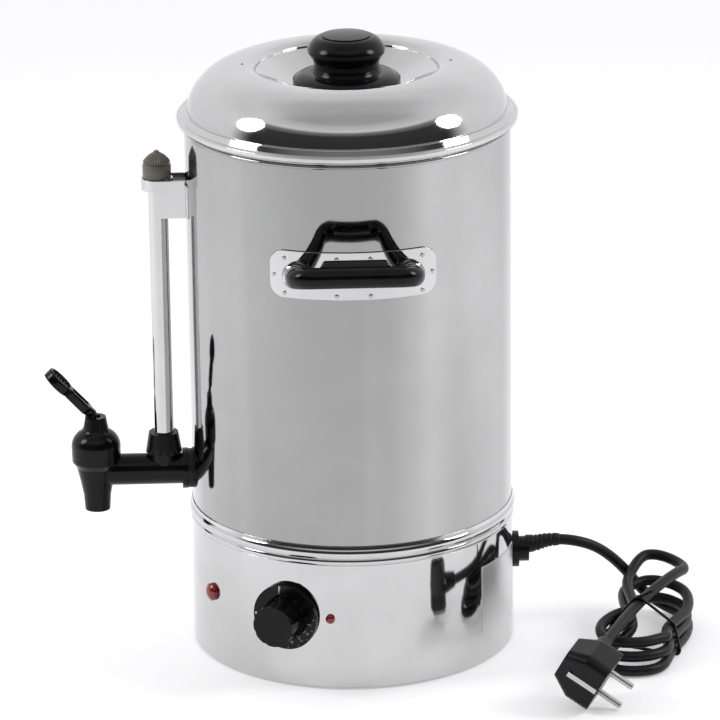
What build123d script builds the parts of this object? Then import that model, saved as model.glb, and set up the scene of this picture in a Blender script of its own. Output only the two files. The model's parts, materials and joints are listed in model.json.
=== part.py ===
from build123d import *
import os
from math import asin, cos, degrees, pi, radians, sin, sqrt, tan

# Hot water urn. Millimetres, +Z up. The tank's axis is Z and the worktop is z = 0.
# The front handle is on +X, the tap and sight gauge on -Y, the mains cord on +Y.

# ---- driving dimensions ----
sheet = 0.8
seat_gap = 0.05          # between pieces that are fitted without moving
run_gap = 0.05           # radial clearance of pins and shafts
free_gap = 0.4           # between pieces that pass each other

tank_r = 118.0
rim_z = 398.3
rim_bead = 1.6
rim_bead_pitch = 2.95
tank_floor_z = 113.0
tank_floor_t = 1.0
floor_dish = 3.0
floor_dish_r = 40.0
floor_hem = 9.0
tank_tail = 6.0

skirt_step = 1.1
skirt_bottom = 2.0
skirt_top = 96.0
skirt_lip = 7.0
seam_h = 14.6
seam_bulge = 2.4
seam_small_bulge = 1.9
seam_small_h = 4.6
seam_big_h = 7.4

lid_lip_over = 5.3
lid_lip_h = 3.7
lid_step_over = 2.5
lid_step_top_over = 0.5
lid_step_h = 7.7
dome_in = 43.0
dome_drop = 3.4
dome_reach = 41.2
dome_rise = 36.7
well_rim = 9.5
well_rim_drop = 5.0
well_r = 40.0
well_depth = 18.4
lid_play = 0.8
lid_ring_depth = 12.3
vent_r = 1.5
vent_in = 43.0

knob_foot_r = 38.9
knob_foot_h = 7.0
knob_shoulder_r = 25.4
knob_shoulder_h = 12.0
knob_neck_r = 23.6
knob_split_h = 14.0
knob_r = 28.0
knob_wide_h = 27.3
knob_top_h = 37.9
knob_edge_r = 18.5
knob_cap_r = 17.4
knob_cap_rise = 1.7
knob_cap_t = 2.0
knob_screw_r = 3.0

handle_z = 314.0
plate_w = 117.6
plate_h = 34.8
plate_corner = 10.0
plate_t = 1.2
leg_reach = 41.2
leg_rise_deg = 15.6
grip_reach = 55.5
grip_d = 15.0
grip_bend = 20.0
hump_len = 45.0
hump_h = 4.0
hump_w = 11.0
ferrule_r = 9.0
ferrule_tip_r = 7.0
ferrule_h = 9.0
stud_r = 2.5
stud_grip_depth = 18.0
weld_r = 1.5
weld_places = ((49.0, 12.0), (49.0, -14.0), (56.2, -1.0), (11.9, 12.8), (11.9, -14.7))

tap_reach = 70.3
shank_z = 131.2
shank_r = 11.6
shank_thread_r = 9.0
tap_bore_r = 4.6
tap_flange_r = 15.1
tap_flange_out = 7.0
tap_flange_t = 4.0
gasket_r = 14.5
inner_gasket_in = 4.0
lock_nut_af = 30.0
lock_nut_t = 7.0
shank_tail = 3.0
spout_z = 101.2
spout_tip_r = 9.35
spout_bore_r = 6.2
seat_z = 122.5
chamber_r = 10.0
bonnet_z = 143.0
bonnet_r = 18.1
bonnet_side_h = 5.5
bonnet_neck_r = 15.0
bonnet_neck_h = 5.0
bonnet_seal_t = 1.5
bonnet_top_z = 162.0
bonnet_top_r = 10.65
bonnet_room_r = 9.0
bonnet_room_z = 157.0
collar_z = 163.5
collar_r = 9.6
collar_top_r = 7.95
collar_top_z = 172.8
collar_slot = 7.0

stem_r = 2.0
cup_r = 8.2
cup_h = 6.0
spring_r = 4.0
spring_wire = 0.8
spring_turns = 6
pivot_z = 168.5
pivot_back = 4.7
pivot_r = 1.25
lever_arm = 4.5
link_r = 1.0
lever_slope = 47.0
lever_len = 49.0
lever_depth = 7.5
lever_offset = 2.05
lever_w = 12.0
lever_waist = 11.0
paddle_w = 19.0
fork_in = 1.4
fork_t = 1.8
blade_half = 1.0

gauge_reach = 20.4
boss_r = 9.0
boss_top = 155.0
gauge_nut_z = 145.0
gauge_nut_top = 160.0
gauge_nut_r = 13.35
gauge_nut_top_r = 10.85
glass_r = 5.0
glass_bore_r = 3.5
glass_foot = 148.0
glass_over = 6.0
guard_r = 7.6
guard_t = 0.8
guard_under = 1.0
guard_slot = 8.0
bracket_ring_r = 11.5
bracket_ring_h = 8.5
bracket_top = 355.0
bracket_h = 28.0
bracket_t = 1.2
bracket_foot_w = 11.0
cap_r = 10.35
cap_side_h = 12.0
cap_crown_r = 9.0
cap_crown_h = 14.3
cap_tip_h = 20.4

element_in = 34.0
element_tube_r = 4.0
element_rise = 21.0
element_foot_in = 38.0
element_foot_deg = 10.0
element_corner = 14.0
bush_r = 6.0
bush_flange_r = 9.0
bush_flange_t = 3.0
element_gasket_t = 1.0
bush_tail = 12.0
element_nut_af = 17.0
element_nut_t = 5.0
terminal_pin_r = 1.5
terminal_pin_len = 8.0

control_z = 55.0
dial_az = -25.3
dial_r = 24.5
dial_flange_t = 4.5
dial_grip_r = 16.8
dial_grip_top_r = 15.2
dial_h = 25.5
dial_lobes = 8
dial_lobe_r = 5.5
dial_gap = 0.5
dial_recess_r = 19.5
dial_recess = 3.0
dial_shaft_r = 3.0
collar_shaft_r = 5.2
thermostat_w = 36.0
thermostat_h = 28.0
thermostat_d = 20.0
thermostat_in = 6.1
bulb_in = 56.0
capillary_out = 14.0
capillary_drop = 26.0
capillary_bends = (7.0, 10.0, 5.0)
thermostat_screw_y = 14.0
thermostat_screw_r = 2.0
bulb_r = 3.0
bulb_len = 60.0
capillary_r = 0.9

mains_lamp_az = -61.2
mains_lamp_r = 6.5
mains_lamp_h = 5.0
heating_lamp_az = -9.7
heating_lamp_r = 3.4
heating_lamp_h = 2.6
lamp_body_len = 22.0
lens_stand = 0.3
lamp_step = 1.0

rating_from = 50.4
rating_to = 78.5
rating_z = 25.0
rating_h = 51.0
rating_t = 0.4

gland_z = 61.5
gland_flange_r = 13.4
gland_flange_out = 3.9
gland_r = 9.35
gland_out = 11.4
gland_hole_up = 3.0
gland_thread_r = 7.9
gland_tail_in = 13.1
gland_nut_r = 12.0
gland_nut_t = 6.0
cord_d = 8.0

# the mains cord, placed from the skirt's rear: y is the distance out from the skirt's face.
# Its free stretches run from the gland to the hank, and from the hank to the plug.
cord_from_gland = (
    (0, -8, 64.5), (0, 13, 64.5), (0, 27, 68.5), (0, 44, 67.5),
    (-4, 61, 61), (-10, 75, 49), (-17, 88, 33), (-21, 99, 17),
)
cord_to_plug = ((62, 87, 30), (80, 78, 34), (102.2, 68, 34.7))
hank_far = (20.0, 106.0, 46.0, 29.0, 0.0)
hank_near = (90.0, 84.0, 32.0, 26.0, -18.0)
hank_top = (-26.0, 50.0, 122.0, 20.0)
tie_at = (63.0, 98.0)
tie_turn = -12.0
tie_w = 42.0
tie_h = 32.0
tie_r = 1.6

plug_face = (165.6, 55.6, 20.6)
plug_pins_dir = (0.310, 0.812, -0.494)
plug_cord_dir = (-0.908, 0.407, 0.098)
plug_w = 36.0
plug_h = 40.0
plug_d = 33.0
plug_back = 24.0
plug_neck_at = 17.0
plug_neck_r = 8.5
plug_neck_end_r = 6.0
plug_neck_len = 24.0
pin_r = 2.4
pin_len = 19.0
pin_pitch = 19.0
earth_w = 4.0
earth_len = 24.0
earth_t = 0.7

foot_in = 7.3
foot_inner_in = 16.1
base_t = 1.0
base_well_in = 21.1
base_well_rise = 6.2
base_flange_h = 8.0
rod_r = 2.0
rod_in = 38.0
rod_az = (30.0, 150.0, 270.0)
rod_nut_af = 7.0
rod_nut_t = 3.2
cutout_at = (35.0, -38.0)
cutout_r = 15.0
cutout_h = 18.0
cutout_tab = 6.0
button_r = 4.0
button_travel = 1.5
button_bottom = 3.4
block_at = (0.0, 66.0)
block_size = (48.0, 18.0, 16.0)
block_poles = 5
earth_at = (-48.0, 52.0)
earth_h = 16.0
earth_r = 2.0
earth_af = 7.0
lead_r = 1.2

BOTTOM = (Align.CENTER, Align.CENTER, Align.MIN)

# ---- places that follow from them ----
tank_in_r = tank_r - sheet
skirt_r = tank_r + skirt_step
skirt_in_r = skirt_r - sheet
lid_lip_r = tank_r + lid_lip_over
lid_step_r = tank_r + lid_step_over
lid_step_top_r = tank_r + lid_step_top_over
dome_r = tank_r - dome_in
vent_place = tank_r - vent_in
tap_y = tank_r + tap_reach
tap_flange_y = tank_r + tap_flange_out
inner_gasket_y = tank_r - inner_gasket_in
gauge_y = tank_r + gauge_reach
glass_top = bracket_top + glass_over
guard_top = bracket_top - guard_under
bracket_ring_z = bracket_top - bracket_ring_h
bracket_foot_z = bracket_top - bracket_h
element_r = tank_r - element_in
element_z = tank_floor_z + element_rise
element_foot_r = tank_r - element_foot_in
thermostat_face = skirt_r - thermostat_in
gland_flange_y = skirt_r + gland_flange_out
gland_y = skirt_r + gland_out
gland_tail_y = skirt_r - gland_tail_in
foot_r = skirt_r - foot_in
foot_in_r = skirt_r - foot_inner_in
base_well_r = skirt_r - base_well_in
rod_place = tank_r - rod_in
seam_z0 = skirt_top
seam_z1 = seam_z0 + seam_h
dome_z = rim_z + dome_drop
crest_z = dome_z + dome_rise
well_z = crest_z - well_depth
lid_ring_r = tank_in_r - lid_play
knob_top_z = well_z + knob_top_h
base_z = skirt_bottom + sheet
base_top_z = base_z + base_well_rise + base_t
plate_out_r = tank_r + seat_gap + plate_t
pivot_y = -(tap_y + pivot_back)
link_y = pivot_y + lever_arm
gasket_face_y = tap_flange_y - tap_flange_t
inner_nut_y = inner_gasket_y - lock_nut_t
dial_back = skirt_r + dial_gap
lamps = ((mains_lamp_az, mains_lamp_r), (heating_lamp_az, heating_lamp_r))


# ---- small helpers ----
def rod(radius, z0, z1):
    """Upright cylinder on the Z axis."""
    return Pos(0, 0, z0) * Cylinder(radius, z1 - z0, align=BOTTOM)


def ring(outer, inner, z0, z1):
    """Upright hollow cylinder on the Z axis."""
    return rod(outer, z0, z1) - rod(inner, z0 - 1, z1 + 1)


def turned(*outline):
    """Solid of revolution about Z from (radius, height) corners."""
    return revolve(make_face(Polyline(*[(r, 0, z) for r, z in outline], close=True)), Axis.Z)


def turned_edges(*lines):
    """Solid of revolution about Z from lines that close a loop in the XZ plane."""
    edges = [edge for line in lines for edge in line.edges()]
    return revolve(make_face(edges), Axis.Z)


def flat(points):
    """Line through (radius, height) points in the XZ plane."""
    return Polyline(*[(r, 0, z) for r, z in points])


def hexagon(across_flats, z0, z1):
    """Upright hexagonal prism with two flats facing +X and -X."""
    outline = RegularPolygon(across_flats / 2, 6, major_radius=False, rotation=30)
    return Pos(0, 0, z0) * extrude(outline, z1 - z0)


def along_y(shape):
    """Turn a shape built along +Z so that it runs along -Y, its Z becoming distance from the tank's axis."""
    return Rot(90, 0, 0) * shape


def along_x(shape):
    """Turn a shape built along +Z so that it runs along +X."""
    return Rot(0, 90, 0) * shape


def at_azimuth(shape, azimuth, height=0.0):
    """Turn a shape built on +X to an azimuth round the tank, and lift it."""
    return Rot(0, 0, azimuth) * (Pos(0, 0, height) * shape)


def drum(radius):
    """Tall cylinder used to cut a saddle that fits the tank or the skirt."""
    return rod(radius, -200, 700)


def cap_arc(radius, z_edge, z_top):
    """Spherical cap's outline from its edge up to the axis."""
    rise = z_top - z_edge
    ball = (radius**2 + rise**2) / (2 * rise)
    half = asin(radius / ball) / 2
    middle = (ball * sin(half), 0, z_top - ball * (1 - cos(half)))
    return ThreePointArc((radius, 0, z_edge), middle, (0, 0, z_top))


def solids(*shapes):
    """Group of separate solids for one node."""
    found = []
    for shape in shapes:
        found += shape.solids()
    return Compound(children=found)


def tube(points, radius, bends):
    """Round bar along straight runs joined by tangent arcs."""
    path = FilletPolyline(*points, radius=bends)
    start = Plane(origin=path @ 0, z_dir=path % 0)
    return sweep(start * Circle(radius), path)


# ---- lid ----
def dome_line(inset):
    """Outline of the lid from the well's centre out to the lip, moved inward by inset."""
    z = well_z - inset
    brow = Vector(dome_r, 0, crest_z - well_rim_drop)
    shoulder = EllipticalCenterArc(
        (0, 0, 0), well_rim - inset, well_rim_drop - inset, start_angle=90, arc_size=90
    )
    shoulder = Pos(*brow) * (Rot(90, 0, 0) * shoulder)
    reach = dome_reach - inset
    rise = dome_rise - inset
    step_z = rim_z + lid_step_h - inset
    end_deg = degrees(asin((step_z - dome_z) / rise))
    dome = EllipticalCenterArc((0, 0, 0), reach, rise, start_angle=end_deg, arc_size=90 - end_deg)
    dome = Pos(dome_r, 0, dome_z) * (Rot(90, 0, 0) * dome)
    dome_end_r = dome_r + reach * cos(radians(end_deg))
    well = flat([(0, z), (well_r + inset * 0.4, z), (dome_r - well_rim + inset, brow.Z)])
    lip_z = rim_z + lid_lip_h - inset
    step = flat(
        [
            (dome_end_r, step_z),
            (lid_step_top_r - inset, step_z),
            (lid_step_r - inset, lip_z),
            (lid_lip_r - inset - 1.0, lip_z),
            (lid_lip_r - inset, lip_z - 1.0),
            (lid_lip_r - inset, rim_z),
            (0, rim_z),
            (0, z),
        ]
    )
    return [well, shoulder, dome, step]


def lid_shell():
    outer = turned_edges(*dome_line(0.0))
    inner = turned_edges(*dome_line(sheet))
    shell = outer - inner
    for side in (90, -90):
        shell -= at_azimuth(Pos(vent_place, 0, 0) * rod(vent_r, crest_z - 20, crest_z + 5), side)
    return shell - rod(knob_screw_r + free_gap, well_z - 5, well_z + 5)


def lid_ring():
    flange = ring(lid_lip_r - sheet - seat_gap, lid_ring_r - sheet, rim_z, rim_z + sheet)
    return flange + ring(lid_ring_r, lid_ring_r - sheet, rim_z - lid_ring_depth, rim_z + sheet)


def knob_foot():
    bore = knob_screw_r + free_gap
    side = flat([(bore, well_z + knob_split_h), (bore, well_z), (knob_foot_r, well_z)])
    side += flat([(knob_foot_r, well_z), (knob_foot_r, well_z + knob_foot_h)])
    shoulder = ThreePointArc(
        (knob_foot_r, 0, well_z + knob_foot_h),
        (knob_shoulder_r + 8.0, 0, well_z + knob_shoulder_h - 1.6),
        (knob_shoulder_r, 0, well_z + knob_shoulder_h),
    )
    top = flat(
        [
            (knob_shoulder_r, well_z + knob_shoulder_h),
            (knob_neck_r + 0.8, well_z + knob_split_h),
            (bore, well_z + knob_split_h),
        ]
    )
    return turned_edges(side, shoulder, top)


def knob_grip():
    z0 = well_z + knob_split_h
    bore = knob_screw_r + seat_gap
    side = Spline(
        (knob_neck_r + 0.8, 0, z0),
        (knob_neck_r, 0, well_z + 17.5),
        (knob_neck_r + 1.0, 0, well_z + 21.5),
        (knob_r, 0, well_z + knob_wide_h),
        (knob_r - 1.5, 0, well_z + knob_wide_h + 5.0),
        (knob_edge_r, 0, knob_top_z),
    )
    pocket_z = knob_top_z - knob_cap_t
    top = flat(
        [
            (knob_edge_r, knob_top_z),
            (knob_cap_r + seat_gap, knob_top_z),
            (knob_cap_r + seat_gap, pocket_z),
            (0, pocket_z),
            (0, pocket_z - 4),
            (bore, pocket_z - 4),
            (bore, z0),
            (knob_neck_r + 0.8, z0),
        ]
    )
    return turned_edges(side, top)


def knob_cap():
    z0 = knob_top_z - knob_cap_t
    z_edge = knob_top_z + knob_cap_rise / 2
    z_top = knob_top_z + knob_cap_rise
    side = flat([(0, z_top), (0, z0), (knob_cap_r, z0), (knob_cap_r, z_edge)])
    return turned_edges(cap_arc(knob_cap_r, z_edge, z_top), side)


def knob_screw():
    washer_z = well_z - sheet
    washer = ring(8.0, knob_screw_r + seat_gap, washer_z - 1.2, washer_z)
    head_z = washer_z - 1.2
    screw = hexagon(10.0, head_z - 4, head_z) + rod(knob_screw_r, head_z - 4, knob_top_z - knob_cap_t - 6)
    return solids(washer, screw)


# ---- tank and base ----
def tank_wall():
    z_low = seam_z0 - tank_tail
    bead_r = tank_r + rim_bead
    waist_r = tank_r + 0.3
    z2 = rim_z - rim_bead_pitch * 0.6
    z1 = z2 - rim_bead_pitch
    half = rim_bead_pitch / 2
    lower = ThreePointArc((tank_r, 0, z1 - half), (bead_r, 0, z1), (waist_r, 0, z1 + half))
    upper = ThreePointArc((waist_r, 0, z2 - half), (bead_r, 0, z2), (tank_r + 0.8, 0, rim_z))
    low = [(tank_in_r, z_low), (tank_r, z_low), (tank_r, z1 - half)]
    side = flat([(tank_r + 0.8, rim_z), (tank_in_r, rim_z)] + low)
    wall = turned_edges(lower, upper, side)
    hole = rod(shank_thread_r + free_gap, tank_r - 20, tank_r + 20)
    return wall - Pos(0, 0, shank_z) * along_y(hole)


def tank_floor():
    r = tank_in_r - seat_gap
    z = tank_floor_z
    t = tank_floor_t
    dish = floor_dish
    hem = floor_hem
    top = [(0, z - dish), (floor_dish_r - 10, z - dish), (floor_dish_r, z), (r, z), (r, z - hem)]
    under = [(r - t, z - hem), (r - t, z - t), (floor_dish_r, z - t)]
    under += [(floor_dish_r - 10, z - dish - t), (0, z - dish - t)]
    pan = turned(*top, *under)
    for side in (1, -1):
        pan -= Pos(*foot_at(side), 0) * rod(bush_r + free_gap, z - 5, z + 5)
    return pan


def bead(z0, z1, out_r):
    """Outline of one rolled bead standing out from the skirt's radius."""
    return ThreePointArc((skirt_r, 0, z0), (out_r, 0, (z0 + z1) / 2), (skirt_r, 0, z1))


def seam_ring():
    r = tank_r + seat_gap
    z1 = seam_z0 + seam_small_h
    z2 = z1 + seam_big_h
    low = bead(seam_z0, z1, tank_r + seam_small_bulge)
    big = bead(z1, z2, tank_r + seam_bulge)
    side = flat([(skirt_r, z2), (r + 0.5, seam_z1), (r, seam_z1), (r, seam_z0), (skirt_r, seam_z0)])
    return turned_edges(low, big, side)


def skirt_hole(radius, azimuth, aside=0.0, height=None):
    """Drill that goes through the skirt's wall at an azimuth."""
    drill = Pos(0, aside, 0) * along_x(rod(radius, skirt_r - 10, skirt_r + 10))
    return at_azimuth(drill, azimuth, control_z if height is None else height)


def skirt():
    shell = ring(skirt_r, skirt_in_r, skirt_bottom, skirt_top)
    shell += ring(skirt_r, skirt_r - skirt_lip, skirt_bottom, skirt_bottom + sheet)
    shell -= skirt_hole(collar_shaft_r + free_gap, dial_az)
    for side in (1, -1):
        shell -= skirt_hole(thermostat_screw_r + free_gap / 2, dial_az, side * thermostat_screw_y)
    for azimuth, radius in lamps:
        shell -= skirt_hole(radius - lamp_step + free_gap / 2, azimuth)
    return shell - skirt_hole(gland_thread_r + free_gap / 2, 90, height=gland_z)


def base_plate():
    r = skirt_in_r - seat_gap
    low = base_z
    high = base_z + base_well_rise
    t = base_t
    edge = low + base_flange_h
    under = [(0, high), (base_well_r, high), (foot_in_r, low), (r, low), (r, edge)]
    top = [(r - t, edge), (r - t, low + t), (foot_in_r, low + t), (base_well_r, high + t), (0, high + t)]
    plate = turned(*under, *top)
    for azimuth in rod_az:
        plate -= at_azimuth(Pos(rod_place, 0, 0) * rod(rod_r + free_gap / 2, 0, base_top_z + 5), azimuth)
    plate -= Pos(*earth_at, 0) * rod(earth_r + free_gap, 0, base_top_z + 5)
    return plate - Pos(*cutout_at, 0) * rod(button_r + free_gap, 0, base_top_z + 5)


def foot_ring():
    return ring(foot_r, foot_in_r + 1.0, 0, base_z)


def tie_rods():
    bottom = base_z + base_well_rise - rod_nut_t - 1.0
    bar = Pos(rod_place, 0, 0) * rod(rod_r, bottom, tank_floor_z - tank_floor_t)
    return solids(*[at_azimuth(bar, a) for a in rod_az])


def tie_nuts():
    top = base_z + base_well_rise
    nut = hexagon(rod_nut_af, top - rod_nut_t, top) - rod(rod_r + seat_gap, 0, top + 5)
    return solids(*[at_azimuth(Pos(rod_place, 0, 0) * nut, a) for a in rod_az])


# ---- side handles, built on +X ----
def leg_frame(side):
    """Location whose Z runs out along one handle leg, starting at the tank radius."""
    return Pos(tank_r, side * leg_reach, handle_z + 1.0) * Rot(0, 90 - leg_rise_deg, 0)


def handle_plate():
    outline = Plane.YZ * RectangleRounded(plate_w, plate_h, plate_corner)
    blank = Pos(0, 0, handle_z) * extrude(outline, tank_r + 20)
    plate = ring(plate_out_r, tank_r + seat_gap, handle_z - 40, handle_z + 40) & blank
    for side in (1, -1):
        plate -= leg_frame(side) * rod(stud_r + 0.5, -20, 10)
    places = [(s * y, z) for y, z in weld_places[:2] + weld_places[3:] for s in (1, -1)]
    places += [(s * weld_places[2][0], weld_places[2][1]) for s in (1, -1)]
    for y, z in places:
        depth = sqrt(plate_out_r**2 - y**2) + weld_r * 0.55
        plate -= Pos(depth, y, handle_z + z) * Sphere(weld_r)
    return plate


def ferrule(side):
    start = -20.0
    tip = sqrt(plate_out_r**2 - leg_reach**2) - tank_r + ferrule_h
    body = turned(
        (0, start), (ferrule_r, start), (ferrule_r, tip - 5.5), (ferrule_tip_r + 1.2, tip - 2.0),
        (ferrule_tip_r, tip), (0, tip),
    )
    body -= rod(stud_r + seat_gap, start - 1, tip + 1)
    return leg_frame(side) * body - drum(plate_out_r + seat_gap)


def handle_ferrules():
    found = []
    for side in (1, -1):
        for turn in (0, 180):
            found.append(Rot(0, 0, turn) * ferrule(side))
    return solids(*found)


def handle_studs():
    found = []
    for side in (1, -1):
        for turn in (0, 180):
            tip = sqrt(plate_out_r**2 - leg_reach**2) - tank_r + ferrule_h
            stud = leg_frame(side) * rod(stud_r, -20, tip + stud_grip_depth) - drum(tank_r + seat_gap)
            found.append(Rot(0, 0, turn) * stud)
    return solids(*found)


def handle_grip():
    tip = sqrt(plate_out_r**2 - leg_reach**2) - tank_r + ferrule_h
    y = leg_reach
    corners = [(tip, y, 0), (grip_reach, y, 0), (grip_reach, -y, 0), (tip, -y, 0)]
    bar = tube(corners, grip_d / 2, grip_bend)
    outline = Plane.YZ * Trapezoid(hump_len, grip_d / 2 + hump_h, 62)
    hump = Pos(grip_reach - hump_w / 2, 0, (grip_d / 2 + hump_h) / 2) * extrude(outline, hump_w)
    bar += fillet(hump.edges().filter_by(Axis.X, reverse=False), 3.0)
    bore = along_x(rod(stud_r + seat_gap, tip - 1, tip + stud_grip_depth + 1))
    bar -= Pos(0, y, 0) * bore
    bar -= Pos(0, -y, 0) * bore
    return Pos(tank_r, 0, handle_z + 1.0) * Rot(0, -leg_rise_deg, 0) * bar


def front_and_rear(piece):
    """The same piece on both sides of the urn."""
    return solids(piece, Rot(0, 0, 180) * piece)


def handle_plates():
    return front_and_rear(handle_plate())


def handle_grips():
    return front_and_rear(handle_grip())


# ---- tap, built on its own upright axis and moved out to it ----
def on_tap(shape):
    return Pos(0, -tap_y, 0) * shape


def tap_body():
    barrel = turned(
        (0, spout_z), (spout_tip_r, spout_z), (10.1, spout_z + 11), (12.4, spout_z + 22.8),
        (14.8, spout_z + 33.1),
        (17.2, bonnet_z - 5.2), (bonnet_r - 0.2, bonnet_z - 4.2), (bonnet_r - 0.2, bonnet_z), (0, bonnet_z),
    )
    body = on_tap(barrel)
    shank = rod(shank_r, tap_flange_y - 1, tap_y)
    shank += rod(tap_flange_r, gasket_face_y, tap_flange_y)
    shank += rod(shank_thread_r, inner_nut_y - shank_tail, gasket_face_y)
    body += Pos(0, 0, shank_z) * along_y(shank)
    boss = rod(boss_r + 1.5, shank_z, gauge_nut_z) + rod(boss_r, gauge_nut_z, boss_top)
    body += Pos(0, -gauge_y, 0) * boss
    body -= on_tap(rod(spout_bore_r, spout_z - 1, seat_z))
    body -= on_tap(rod(chamber_r, seat_z, bonnet_z + 1))
    body -= on_tap(rod(bonnet_neck_r + 0.1, bonnet_z - bonnet_neck_h - bonnet_seal_t, bonnet_z + 1))
    body -= Pos(0, 0, shank_z) * along_y(rod(tap_bore_r, inner_nut_y - shank_tail - 1, tap_y))
    body -= Pos(0, -gauge_y, 0) * rod(2.5, shank_z, boss_top)
    return body - Pos(0, -gauge_y, 0) * rod(glass_r + seat_gap, glass_foot, boss_top + 1)


def tap_bonnet():
    z0 = bonnet_z - bonnet_neck_h
    side_z = bonnet_z + bonnet_side_h
    dome = ThreePointArc(
        (bonnet_r, 0, side_z), (bonnet_top_r + 5.0, 0, side_z + 9.2), (bonnet_top_r, 0, bonnet_top_z)
    )
    inside = flat(
        [
            (bonnet_top_r, bonnet_top_z), (collar_r, collar_z), (collar_top_r, collar_top_z),
            (stem_r + 0.08, collar_top_z), (stem_r + 0.08, bonnet_room_z), (bonnet_room_r, bonnet_room_z),
            (bonnet_room_r, z0), (bonnet_neck_r, z0), (bonnet_neck_r, bonnet_z), (bonnet_r, bonnet_z),
            (bonnet_r, side_z),
        ]
    )
    body = turned_edges(dome, inside)
    slot_back = 3.8
    slot = Pos(0, slot_back - 25, collar_z) * Box(collar_slot, 50, 30, align=BOTTOM)
    body -= slot
    body = on_tap(body)
    return body - Pos(0, pivot_y, pivot_z) * along_x(rod(pivot_r + seat_gap, -15, 15))


def tap_bonnet_seal():
    z0 = bonnet_z - bonnet_neck_h - bonnet_seal_t
    return on_tap(ring(bonnet_neck_r - 0.2, chamber_r + 0.6, z0, z0 + bonnet_seal_t))


def tap_gaskets():
    outer = Pos(0, 0, shank_z) * along_y(ring(gasket_r, shank_thread_r + seat_gap, tank_r - 5, gasket_face_y))
    outer -= drum(tank_r + seat_gap)
    inner = Pos(0, 0, shank_z) * along_y(ring(gasket_r, shank_thread_r + seat_gap, inner_gasket_y, tank_r))
    inner &= drum(tank_in_r - seat_gap)
    return solids(outer, inner)


def tap_lock_nut():
    nut = hexagon(lock_nut_af, inner_nut_y, inner_gasket_y) - rod(shank_thread_r + seat_gap, 0, tank_r)
    return Pos(0, 0, shank_z) * along_y(Rot(0, 0, 90) * nut)


def tap_stem():
    foot = rod(cup_r * 0.5, seat_z + 1.6, seat_z + 3.0)
    blade_z = collar_z + 0.7
    shaft = rod(stem_r, seat_z + 1.6, blade_z + 1)
    blade = Pos(0, 0, blade_z) * Box(2 * blade_half, 6.0, pivot_z + 2.5 - blade_z, align=BOTTOM)
    slot = Pos(0, link_y + tap_y, pivot_z) * Box(10, 4.0, 2.6)
    return on_tap(foot + shaft + (blade - slot))


def tap_seat_cup():
    cup = rod(cup_r, seat_z, seat_z + cup_h) - rod(stem_r + seat_gap, seat_z + 1, seat_z + cup_h + 1)
    cup -= rod(cup_r * 0.5 + seat_gap, seat_z + 1.6 - seat_gap, seat_z + 3.0 + seat_gap)
    return on_tap(cup)


def tap_spring():
    z0 = seat_z + cup_h + seat_gap
    wire = spring_wire / 2
    height = bonnet_room_z - seat_gap - z0 - spring_wire
    coil = Helix(height / spring_turns, height, spring_r, center=(0, 0, z0 + wire))
    start = Plane(origin=coil @ 0, z_dir=coil % 0)
    return on_tap(sweep(start * Circle(wire), coil, is_frenet=True))


def lever_spot(u, n):
    """(Y, Z) of a point u out along the lever from its pivot and n square to it."""
    slope = radians(lever_slope)
    return (pivot_y - u * cos(slope) + n * sin(slope), pivot_z + u * sin(slope) + n * cos(slope))


def lever_cheek(root):
    """One side of the lever's fork, which carries the pivot and the link pin."""
    pivot_boss = Pos(0, pivot_y, pivot_z) * along_x(rod(2.8, 0, fork_t))
    link_boss = Pos(0, link_y, pivot_z) * along_x(rod(2.2, 0, fork_t))
    corners = [
        (link_y, pivot_z - 2.1), (pivot_y, pivot_z - 2.7), lever_spot(root + 3.0, -0.5),
        lever_spot(root + 3.0, lever_offset + 1), lever_spot(root, lever_offset + lever_depth),
        (link_y + 1.5, pivot_z + 1.5),
    ]
    web = extrude(make_face(Polyline(*[(0, y, z) for y, z in corners], close=True)), fork_t, (1, 0, 0))
    return pivot_boss + link_boss + web


def tap_lever():
    """Lever in its own plane: u runs out along the lever, n is square to it and up."""
    root = 1.5
    neck = 7.0
    fork = fork_in + fork_t
    outline = Polyline(
        (root, fork), (neck, fork), (neck + 1.5, lever_w / 2), (lever_len * 0.45, lever_w / 2),
        (lever_len * 0.56, lever_waist / 2), (lever_len * 0.78, paddle_w / 2 - 0.6),
        (lever_len - 5, paddle_w / 2),
    )
    tip = ThreePointArc((lever_len - 5, paddle_w / 2), (lever_len, 0), (lever_len - 5, -paddle_w / 2))
    other = mirror(outline, Plane.XZ)
    back = Line((root, fork), (root, -fork))
    face = make_face(Wire([*outline.edges(), *tip.edges(), *other.edges(), *back.edges()]))
    bar = Pos(0, 0, lever_offset) * extrude(face, lever_depth)
    well = Pos(lever_len * 0.76, 0, lever_offset + lever_depth) * Box(lever_len * 0.32, lever_waist, 5.0)
    slot = Pos(lever_len * 0.36, 0, lever_offset + lever_depth) * Box(lever_len * 0.3, lever_waist * 0.5, 6.0)
    bar -= well
    bar -= slot
    for step in range(4):
        u = lever_len * (0.65 + 0.07 * step)
        bar += Pos(u, 0, lever_offset + lever_depth - 2.3) * Box(1.4, lever_waist, 1.2)
    slope = radians(lever_slope)
    out = (0, -cos(slope), sin(slope))
    up = (0, sin(slope), cos(slope))
    lever = Plane(origin=(0, pivot_y, pivot_z), x_dir=out, z_dir=up) * bar
    cheek = lever_cheek(root)
    lever += Pos(fork_in, 0, 0) * cheek
    lever += Pos(-fork, 0, 0) * cheek
    lever -= Pos(0, pivot_y, pivot_z) * along_x(rod(pivot_r + run_gap, -15, 15))
    return lever - Pos(0, link_y, pivot_z) * along_x(rod(link_r + seat_gap, -15, 15))


def tap_lever_pin():
    return Pos(0, pivot_y, pivot_z) * along_x(rod(pivot_r, -6.9, 6.9))


def tap_link_pin():
    half = fork_in + fork_t
    return Pos(0, link_y, pivot_z) * along_x(rod(link_r, -half, half))


# ---- sight gauge ----
def on_gauge(shape):
    return Pos(0, -gauge_y, 0) * shape


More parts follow.
